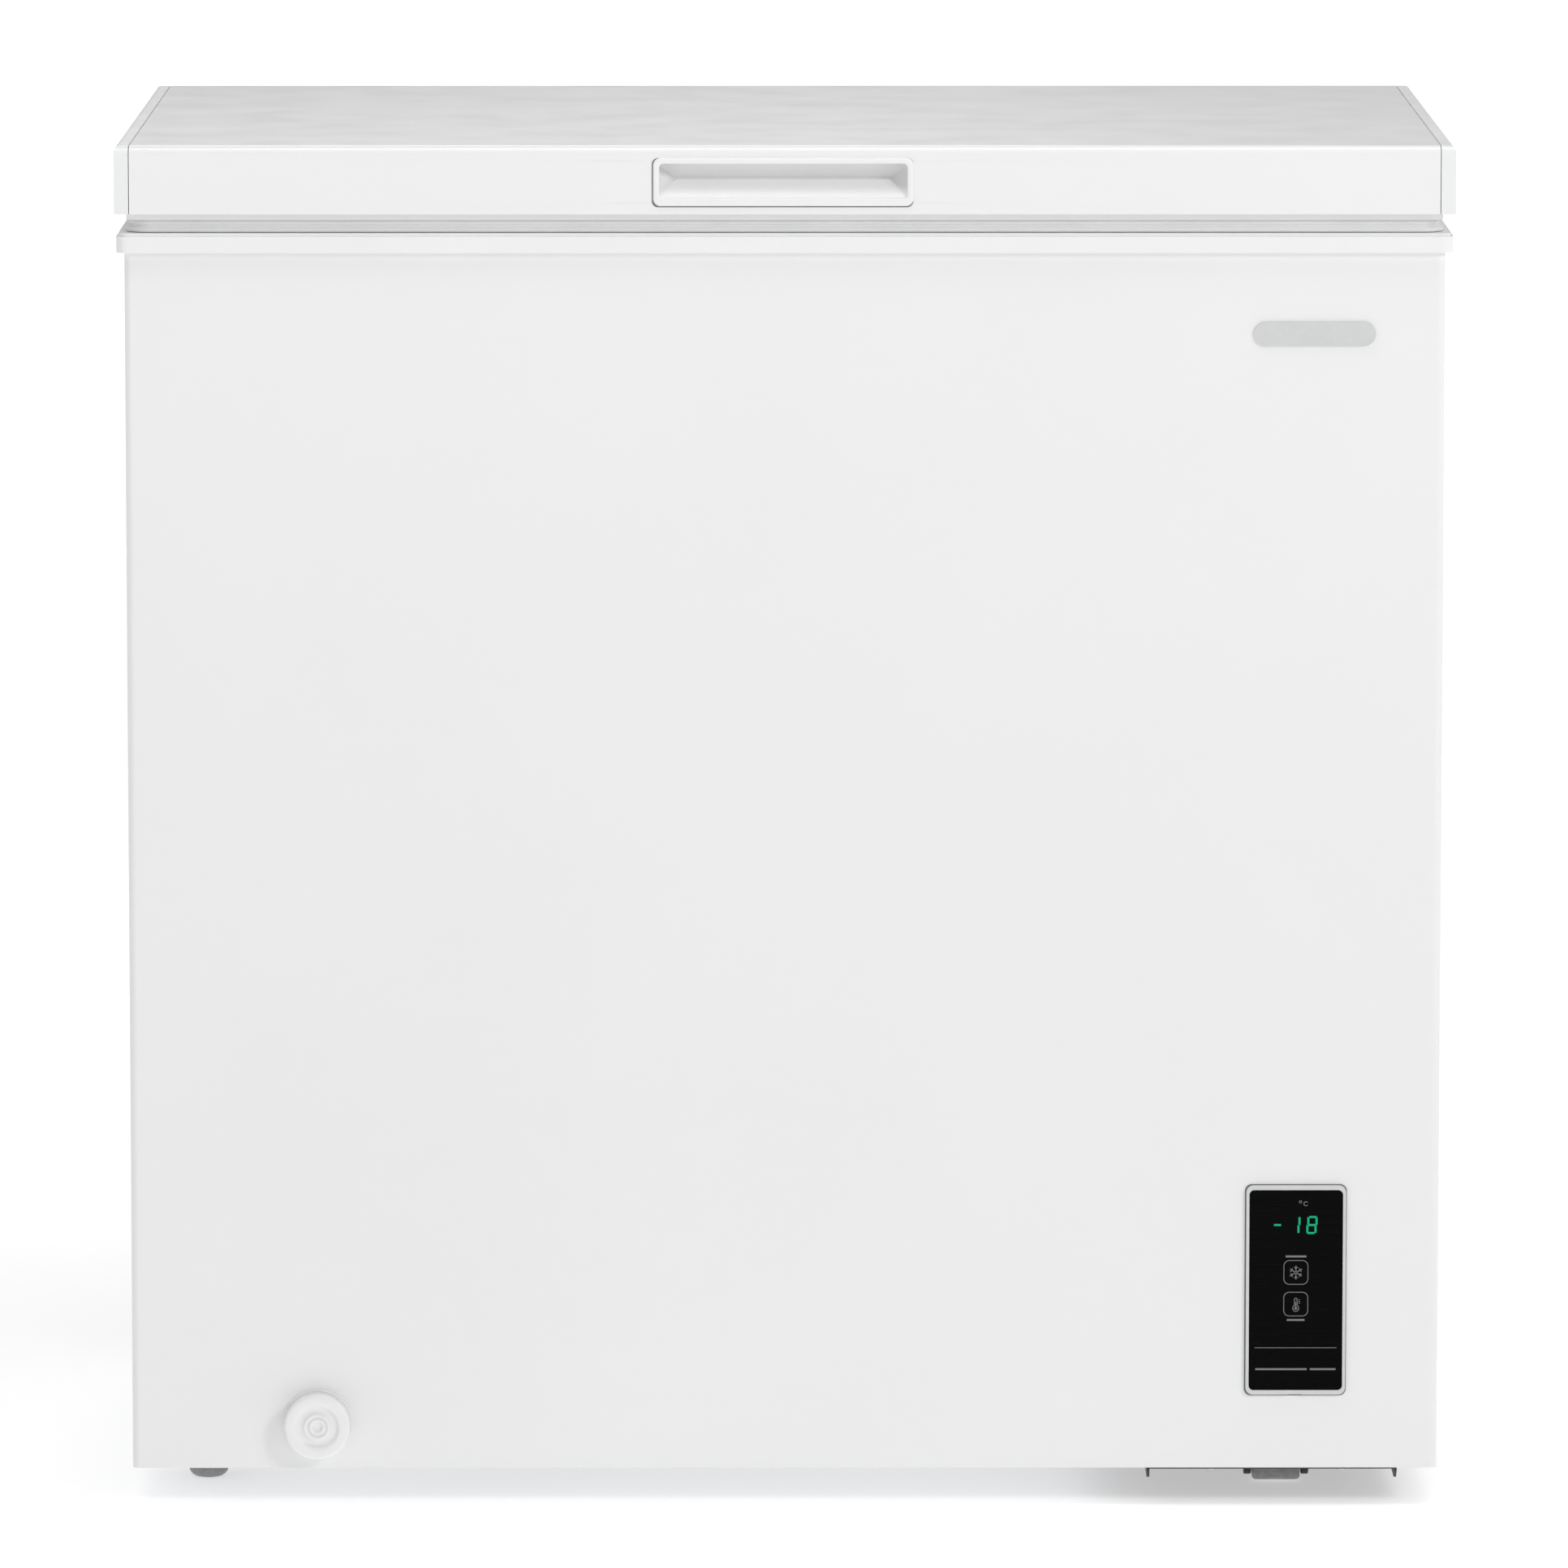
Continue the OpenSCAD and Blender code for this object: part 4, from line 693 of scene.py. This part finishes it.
# ---------------------------------------------------------------- the lid's gasket
def make_gasket():
    """A magnetic seal: a flat foot below, a folded bellows above, square to the lid frame."""
    lo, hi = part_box("lid_gasket")
    cx, cy, _ = middle(lo, hi)
    section = [(0.5, 0), (0.1, 0.3), (0, 0.8), (0.1, 1.6), (0.6, 2.2), (1.8, 2.7), (3.4, 3.2),
               (4.2, 3.8), (3.6, 4.5), (2.4, 5.0), (2.0, 5.6), (2.6, 6.3), (3.2, 6.8), (3.2, 7.7),
               (13.4, 7.7), (13.4, 6.8), (14.0, 6.2), (14.3, 5.4), (13.6, 4.8), (12.6, 4.2),
               (12.4, 3.5), (13.4, 3.0), (15.4, 2.6), (16.4, 2.1), (17.0, 1.5), (17.0, 0.6),
               (16.6, 0.1), (16.0, 0)]
    scale = (hi.z - lo.z) / (max(z for _, z in section) * MM)
    grow = 9 * MM
    rings = []
    for inset, z in section:
        w, d = hi.x - lo.x + 2 * (grow - inset * MM), hi.y - lo.y + 2 * (grow - inset * MM)
        r = max(14 - 0.6 * inset, 3) * MM
        rings.append([(cx + u, cy + v, lo.z + z * MM * scale) for u, v in rounded_rect(w, d, r, 8)])
    verts, faces = loft(rings, joined=True)
    return piece("gasket_bellows", "lid", "gasket", verts, faces, ["lid_gasket"])


def make_lid_hem():
    """The steel shell's edge turned in under the foam, as far as the plastic frame."""
    skin, trims, frame_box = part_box("lid_skin"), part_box("lid_side_trims"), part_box("lid_frame")
    cy = (skin[0].y + skin[1].y) / 2
    z = skin[0].z
    rings = []
    outer = (trims[1].x - trims[0].x - 3 * MM, skin[1].y - skin[0].y - 1.2 * MM)
    inner = (frame_box[1].x - frame_box[0].x - 2 * MM, frame_box[1].y - frame_box[0].y - 2 * MM)
    for (w, d), dz in ((outer, 0.15), (outer, -0.25), (inner, -0.25), (inner, 0.15)):
        rings.append([(u, cy + v, z + dz * MM) for u, v in rounded_rect(w, d, 4 * MM, 6)])
    return piece("lid_hem", "lid", "white_enamel", *loft(rings, joined=True))


# ---------------------------------------------------------------- painted shadow lines round the inserts
def make_painted_shadow_line(name, node, body, skin, wide, low_left):
    """A thin grey band on the skin round an insert: a painted shadow for the shade in the gap, wider at
    the lower left by low_left, where the shadow falls.
    """
    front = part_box(skin)[0].y
    lo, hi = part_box(node)
    cx, _, cz = middle(lo, hi)
    under, behind, proud = -0.3 * MM, front + 0.1 * MM, front - 0.25 * MM
    rings = []
    for grow, y in ((under, behind), (under, proud), (wide, proud), (wide, behind)):
        outline = rounded_rect(hi.x - lo.x + 2 * grow, hi.z - lo.z + 2 * grow, 3.5 * MM + grow, 6)
        shift = low_left if grow > 0 else 0.0
        rings.append([(cx + u - shift, y, cz + v - shift) for u, v in outline])
    # painted shadow: the band takes the grey print material to darken the gap round the insert
    return piece(name, body, "grey_print", *loft(rings, joined=True), smooth=False)


# ---------------------------------------------------------------- feet, roller brackets and plate
def make_foot(name, body):
    """A fluted levelling foot and its threaded stem; profile holds (radius, height, flute depth)."""
    lo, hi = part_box(name)
    x, y, _ = middle(lo, hi)
    sides, flutes = 160, 20
    profile = [(0.0, 0.0, 0), (6.5, 0.0, 0), (8.6, 0.5, 0), (10.4, 1.6, 0.15), (11.8, 3.2, 0.45),
               (12.6, 5.2, 0.8), (13.0, 7.5, 1.0), (13.1, 19.5, 1.0), (12.8, 20.6, 0.8),
               (12.0, 21.3, 0.4), (9.0, 21.6, 0), (4.0, 21.7, 0)]
    pitch = 1.25
    z, top = profile[-1][1], (hi.z - lo.z) / MM
    while z < top - pitch:
        profile += [(3.45, z, 0), (3.98, z + 0.35, 0), (3.98, z + 0.6, 0), (3.45, z + 0.95, 0)]
        z += pitch
    rings = []
    for r, z, flute in profile:
        line = []
        for k in range(sides):
            a = 2 * math.pi * k / sides
            wave = 0.5 - 0.5 * math.cos(flutes * a)
            reach = max(r - 0.9 * flute * wave ** 0.6, 0.01) * MM
            line.append((x + reach * math.cos(a), y + reach * math.sin(a), lo.z + z * MM))
        rings.append(line)
    verts, faces = loft(rings, close_first=True, close_last=True)
    piece("fluted_" + name, body, "grey_foot", verts, faces, [name])


def extruded_x(outline, x0, x1, edge):
    """A plate facing X with rounded edges; outline(inset) gives its (y, z) points."""
    rings = []
    for x, inset in ((x0, edge), (x0 + 0.3 * edge, 0.3 * edge), (x0 + edge, 0.0),
                     (x1 - edge, 0.0), (x1 - 0.3 * edge, 0.3 * edge), (x1, edge)):
        rings.append([(x, y, z) for y, z in outline(inset)])
    return loft(rings, close_first=True, close_last=True)


def make_roller_brackets():
    """Two forks, each with a round-ended cheek and a turned-out tab on either side of its roller."""
    inner, cheek_out, tab_out = 15.7 * MM, 20.4 * MM, 24.5 * MM
    eye_r, half_wide, shoulder, tab_t = 7.5 * MM, 9.5 * MM, 1.5 * MM, 1.8 * MM
    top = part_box("roller_brackets")[1].z
    parts = []
    for name in ("roller_front", "roller_rear"):
        x, y, z = middle(*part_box(name))

        def cheek(inset, y=y, z=z):
            r, wide = eye_r - inset, half_wide - inset
            low = [(y + r * math.cos(a), z + r * math.sin(a))
                   for a in (math.pi + math.pi * k / 16 for k in range(17))]
            return low + [(y + wide, top - inset - shoulder), (y + wide, top - inset),
                          (y - wide, top - inset), (y - wide, top - inset - shoulder)]

        def tab(inset, y=y):
            wide = half_wide - inset
            return [(y - wide, top - tab_t + inset), (y + wide, top - tab_t + inset),
                    (y + wide, top - inset), (y - wide, top - inset)]

        for s in (-1, 1):
            for outline, out, edge in ((cheek, cheek_out, 0.7 * MM), (tab, tab_out, 0.3 * MM)):
                parts.append(extruded_x(outline, *sorted((x + s * inner, x + s * out)), edge))
    piece("roller_forks", "cabinet", "black_steel", *merged(parts), ["roller_brackets"], smooth=False)


def make_bay_plate():
    """The pressed plate under the compressor, with turned-down sides and cut corners."""
    lo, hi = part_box("compressor_plate")
    t, shoulder, edge = 1.7 * MM, 3 * MM, 0.25 * MM
    pad_in, pad_half, pad_t, pad_front = 30 * MM, 5 * MM, 1 * MM, 40 * MM

    def slab(x0, x1, z0, z1, front):
        def outline(i):
            return [(front + i, z0 + i), (hi.y - i, z0 + i), (hi.y - i, z1 - i), (front + i, z1 - i)]
        return extruded_x(outline, x0, x1, edge)

    def flange(x0, x1):
        def outline(i):
            return [(lo.y + i, hi.z - shoulder), (lo.y + 6 * MM, lo.z + i), (hi.y - 12 * MM, lo.z + i),
                    (hi.y - i, hi.z - shoulder), (hi.y - i, hi.z - i), (lo.y + i, hi.z - i)]
        return extruded_x(outline, x0, x1, edge)

    under = hi.z - t
    parts = [slab(lo.x, hi.x, under, hi.z, lo.y), flange(lo.x, lo.x + t), flange(hi.x - t, hi.x)]
    for x in (lo.x + pad_in, hi.x - pad_in):
        parts.append(slab(x - pad_half, x + pad_half, under - pad_t, under + 0.1 * MM, lo.y + pad_front))
    piece("bay_plate", "cabinet", "black_steel", *merged(parts), ["compressor_plate"], smooth=False)


# ---------------------------------------------------------------- the inner liner
RISER_LOW_R = 14 * MM
RISER_HIGH_R = 10 * MM


def liner_floor(x, low, high, step_x):
    """Height of the liner's floor at x: the well, a rounded riser and the step over the bay."""
    r_low, r_high = RISER_LOW_R, RISER_HIGH_R
    if x <= step_x - r_low:
        return low
    if x <= step_x:
        return low + r_low - math.sqrt(max(r_low ** 2 - (x - step_x + r_low) ** 2, 0))
    if x < step_x + r_high:
        return high - r_high + math.sqrt(max(r_high ** 2 - (step_x + r_high - x) ** 2, 0))
    return high


def make_liner():
    """A tub in rings from the rim down its walls and round the fillet, closed by a stepped floor."""
    lo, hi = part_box("inner_liner")
    bay_lo, bay_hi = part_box("bay_liner")
    t, foam_wall = 1 * MM, 55 * MM
    hole_x, hole_y, _ = middle(*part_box("drain_plug"))
    half_w, half_d = (hi.x - lo.x) / 2 - t, (hi.y - lo.y) / 2 - t
    cy = (lo.y + hi.y) / 2
    low, high, step_x = lo.z + t, bay_hi.z + foam_wall, bay_lo.x - foam_wall
    corner, fillet, patch = 24 * MM, 14 * MM, 13 * MM
    xs = [hole_x - patch, hole_x + patch]
    xs += [-250 * MM + 45 * MM * k for k in range(9)]
    xs += [step_x - RISER_LOW_R * math.cos(math.radians(a)) for a in range(0, 90, 9)]
    xs += [step_x - 0.02 * MM, step_x + 0.02 * MM]
    xs += [step_x + RISER_HIGH_R * (1 - math.cos(math.radians(a))) for a in range(9, 91, 9)]
    xs += [180 * MM, 220 * MM, 260 * MM, 300 * MM]
    xs = sorted(x for x in set(xs) if abs(x) < half_w - corner)

    def half_line(inset):
        """(x, half depth) from the left end to the right end of one ring."""
        r = corner - inset
        turn = [math.radians(90 * k / 10) for k in range(11)]
        left = [(-half_w + corner - r * math.cos(a), half_d - corner + r * math.sin(a)) for a in turn]
        right = [(-x, d) for x, d in reversed(left)]
        return left + [(x, half_d - inset) for x in xs] + right

    profile = [(0.0, None)]
    for k in range(9):
        a = math.radians(90 * k / 8)
        profile.append((fillet * (1 - math.cos(a)), fillet * (1 - math.sin(a))))
    rings = []
    for inset, above in profile:
        line = half_line(inset)
        pts = [(x, cy - d) for x, d in line] + [(x, cy + d) for x, d in reversed(line)]
        rings.append([(x, y, hi.z if above is None else liner_floor(x, low, high, step_x) + above)
                      for x, y in pts])
    verts, faces = loft(rings)
    count = len(rings[0])
    base = (len(rings) - 1) * count
    half = count // 2
    last = rings[-1]
    for k in range(half - 1):
        a, b, c, d = base + k, base + k + 1, base + count - 2 - k, base + count - 1 - k
        if abs(last[k][0] - (hole_x - patch)) < 1e-6:
            front = [len(verts), len(verts) + 1]
            verts += [(last[k][0], hole_y - patch, low), (last[k + 1][0], hole_y - patch, low)]
            rear = [len(verts), len(verts) + 1]
            verts += [(last[k][0], hole_y + patch, low), (last[k + 1][0], hole_y + patch, low)]
            faces += [(a, b, front[1], front[0]), (rear[0], rear[1], c, d)]
            faces += drain_patch(verts, hole_x, hole_y, low, patch)
        else:
            faces.append((a, b, c, d))
    return piece("liner_tub", "cabinet", "liner_plastic", verts, faces, ["inner_liner"])


def drain_patch(verts, x, y, z, half, radius=9 * MM, sides=48):
    """A square of floor with the drain's dished hole in it."""
    rings = []
    for r, dz in ((None, 0), (radius + 3 * MM, 0), (radius + 1 * MM, -0.4 * MM), (radius, -1.2 * MM),
                  (radius, -6 * MM)):
        line = []
        for k in range(sides):
            a = 2 * math.pi * k / sides
            reach = half / max(abs(math.cos(a)), abs(math.sin(a))) if r is None else r
            line.append((x + reach * math.cos(a), y + reach * math.sin(a), z + dz))
        rings.append(line)
    new, faces = loft(rings)
    base = len(verts)
    verts += new
    return [tuple(i + base for i in f) for f in faces]


# ---------------------------------------------------------------- icons on the keys
def flat_shape(outline, x, y, z):
    """A thin printed shape on the front: outline in (u, v) millimetres, anticlockwise from the front."""
    thick = 0.04 * MM
    rings = [[(x + u * MM, y + dy, z + v * MM) for u, v in outline] for dy in (0, -thick)]
    return loft(rings, close_first=True, close_last=True)


def bar(u0, v0, u1, v1, wide):
    """Outline of a straight stroke between two points."""
    length = math.hypot(u1 - u0, v1 - v0)
    nu, nv = -(v1 - v0) / length * wide / 2, (u1 - u0) / length * wide / 2
    return [(u0 - nu, v0 - nv), (u1 - nu, v1 - nv), (u1 + nu, v1 + nv), (u0 + nu, v0 + nv)]


def make_key_icons():
    """A snow crystal on one key and a thermometer on the other, in millimetres from the key's middle."""
    for key, body, kind in (("super_key", "super_button", "snow"), ("temp_key", "temp_button", "bulb")):
        lo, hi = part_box(key)
        x, z, y = (lo.x + hi.x) / 2, (lo.z + hi.z) / 2, lo.y - 0.02 * MM
        strokes = []
        if kind == "snow":
            for k in range(6):
                a = math.radians(60 * k + 90)
                c, s = math.cos(a), math.sin(a)
                strokes.append(bar(0.5 * c, 0.5 * s, 4.3 * c, 4.3 * s, 0.55))
                for side in (-1, 1):
                    b = a + side * math.radians(52)
                    u, v = 2.5 * c, 2.5 * s
                    strokes.append(bar(u, v, u + 1.5 * math.cos(b), v + 1.5 * math.sin(b), 0.45))
        else:
            ring = [(1.9 * math.cos(math.radians(t)), -2.6 + 1.9 * math.sin(math.radians(t)))
                    for t in range(115, 426, 10)]
            ring += [(0.8, 3.2), (0.55, 3.7), (0, 3.9), (-0.55, 3.7), (-0.8, 3.2), ring[0]]
            strokes += [bar(*a, *b, 0.5) for a, b in zip(ring, ring[1:])]
            strokes.append(bar(0, -2.6, 0, 1.4, 0.5))
            strokes.append([(0.9 * math.cos(math.radians(t)), -2.6 + 0.9 * math.sin(math.radians(t)))
                            for t in range(0, 360, 20)])
            strokes += [bar(1.6, 2.8 - 1.1 * k, 2.7, 2.8 - 1.1 * k, 0.4) for k in range(3)]
        parts = [flat_shape(s, x, y - 0.001 * MM * i, z) for i, s in enumerate(strokes)]
        piece("icon_" + kind, body, "grey_print", *merged(parts), smooth=False)


# ---------------------------------------------------------------- screws
def islands(name):
    """(lowest, highest) corner of each separate solid in a CAD node."""
    mesh = NODES[name].data
    spots, owner = {}, list(range(len(mesh.vertices)))
    for i, v in enumerate(mesh.vertices):
        spots.setdefault(tuple(round(c, 6) for c in v.co), []).append(i)

    def root(i):
        while owner[i] != i:
            owner[i] = owner[owner[i]]
            i = owner[i]
        return i

    for same in spots.values():
        for i in same[1:]:
            owner[root(i)] = root(same[0])
    for e in mesh.edges:
        owner[root(e.vertices[0])] = root(e.vertices[1])
    groups = {}
    for i, v in enumerate(mesh.vertices):
        groups.setdefault(root(i), []).append(v.co)
    boxes = []
    for pts in groups.values():
        boxes.append((Vector([min(p[k] for p in pts) for k in range(3)]),
                      Vector([max(p[k] for p in pts) for k in range(3)])))
    return sorted(boxes, key=lambda b: tuple(b[0]))


def screw(centre, axis, radius, height, back):
    """A pan head with a cross recess and a shank behind it; centre is under the head."""
    out = Vector(axis)
    u = out.orthogonal().normalized()
    v = out.cross(u)
    sides = 48
    radii = [radius * k / 14 for k in range(14, 0, -1)]
    heights = []
    for r in radii:
        heights.append(height * math.sqrt(max(1 - (r / radius) ** 4, 0)) if r < radius else 0.15 * height)
    rows = [(radius * 0.45, -back), (radius * 0.45, 0), (radius, 0)]
    rows += list(zip(radii, heights))
    rings = []
    for r, h in rows:
        line = []
        for k in range(sides):
            a = 2 * math.pi * k / sides
            pu, pv = r * math.cos(a), r * math.sin(a)
            near = min(abs(pu), abs(pv))
            cut = r < radius * 0.62 and near < radius * 0.15
            lower = 0.6 * height * (1 - 0.5 * r / (0.62 * radius)) if cut and h > 0 else 0
            line.append(Vector(centre) + pu * u + pv * v + (h - lower) * out)
        rings.append(line)
    return loft(rings, close_first=True, close_last=True)


def make_screws():
    """Cross-head screws in place of the CAD ones: towards the back, or downwards under the bay."""
    for node, body in (("body_screws", "cabinet"), ("leaf_screws", "lid")):
        parts = []
        for lo, hi in islands(node):
            size = hi - lo
            x, y, z = middle(lo, hi)
            if size.y > size.z:
                head = 1.8 * MM
                parts.append(screw((x, hi.y - head, z), (0, 1, 0), size.x / 2, head, size.y - head))
            else:
                head = 2 * MM
                parts.append(screw((x, y, lo.z + head), (0, 0, -1), size.x / 2, head, size.z - head))
        piece(node + "_cross_head", body, "zinc", *merged(parts), [node])


# ---------------------------------------------------------------- hinge springs
def make_springs():
    """Coils in place of the CAD hinge springs, fixed where they stand."""
    for side, body in (("left", "plunger_left"), ("right", "plunger_right")):
        lo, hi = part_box("hinge_spring_" + side)
        wire = 1.3 * MM
        x, y, r = (lo.x + hi.x) / 2, (lo.y + hi.y) / 2, (hi.x - lo.x) / 2 - wire
        turns, per = 6, 28
        path = []
        for k in range(turns * per + 1):
            a, t = 2 * math.pi * k / per, k / (turns * per)
            path.append((x + r * math.cos(a), y + r * math.sin(a),
                         lo.z + wire + (hi.z - lo.z - 2 * wire) * t))
        coil = mesh_object("spring_coil_" + side, "spring_steel", *tube(path, wire, 10))
        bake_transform(coil)
        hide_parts("hinge_spring_" + side)


make_camera()
make_studio()
make_floor()
MATS = make_materials()
dress_cad_nodes(MATS)
for node_name, edge_mm in SOFT_EDGES.items():
    soften(node_name, edge_mm * MM)
round_off("refrigerant_pipes")
make_handle()
make_dial()
make_basket()
make_gasket()
make_lid_hem()
# painted shadow lines round the control bezel and the handle insert, standing in for the shade in their
# gaps
make_painted_shadow_line("panel_seal", "control_bezel", "cabinet", "outer_wrap", 0.7 * MM, 0.2 * MM)
make_painted_shadow_line("handle_seal", "handle_insert", "lid", "lid_skin", 0.3 * MM, 0.4 * MM)
make_liner()
make_foot("foot_front", "front_foot")
make_foot("foot_rear", "rear_foot")
make_roller_brackets()
make_bay_plate()
make_key_icons()
make_screws()
make_springs()
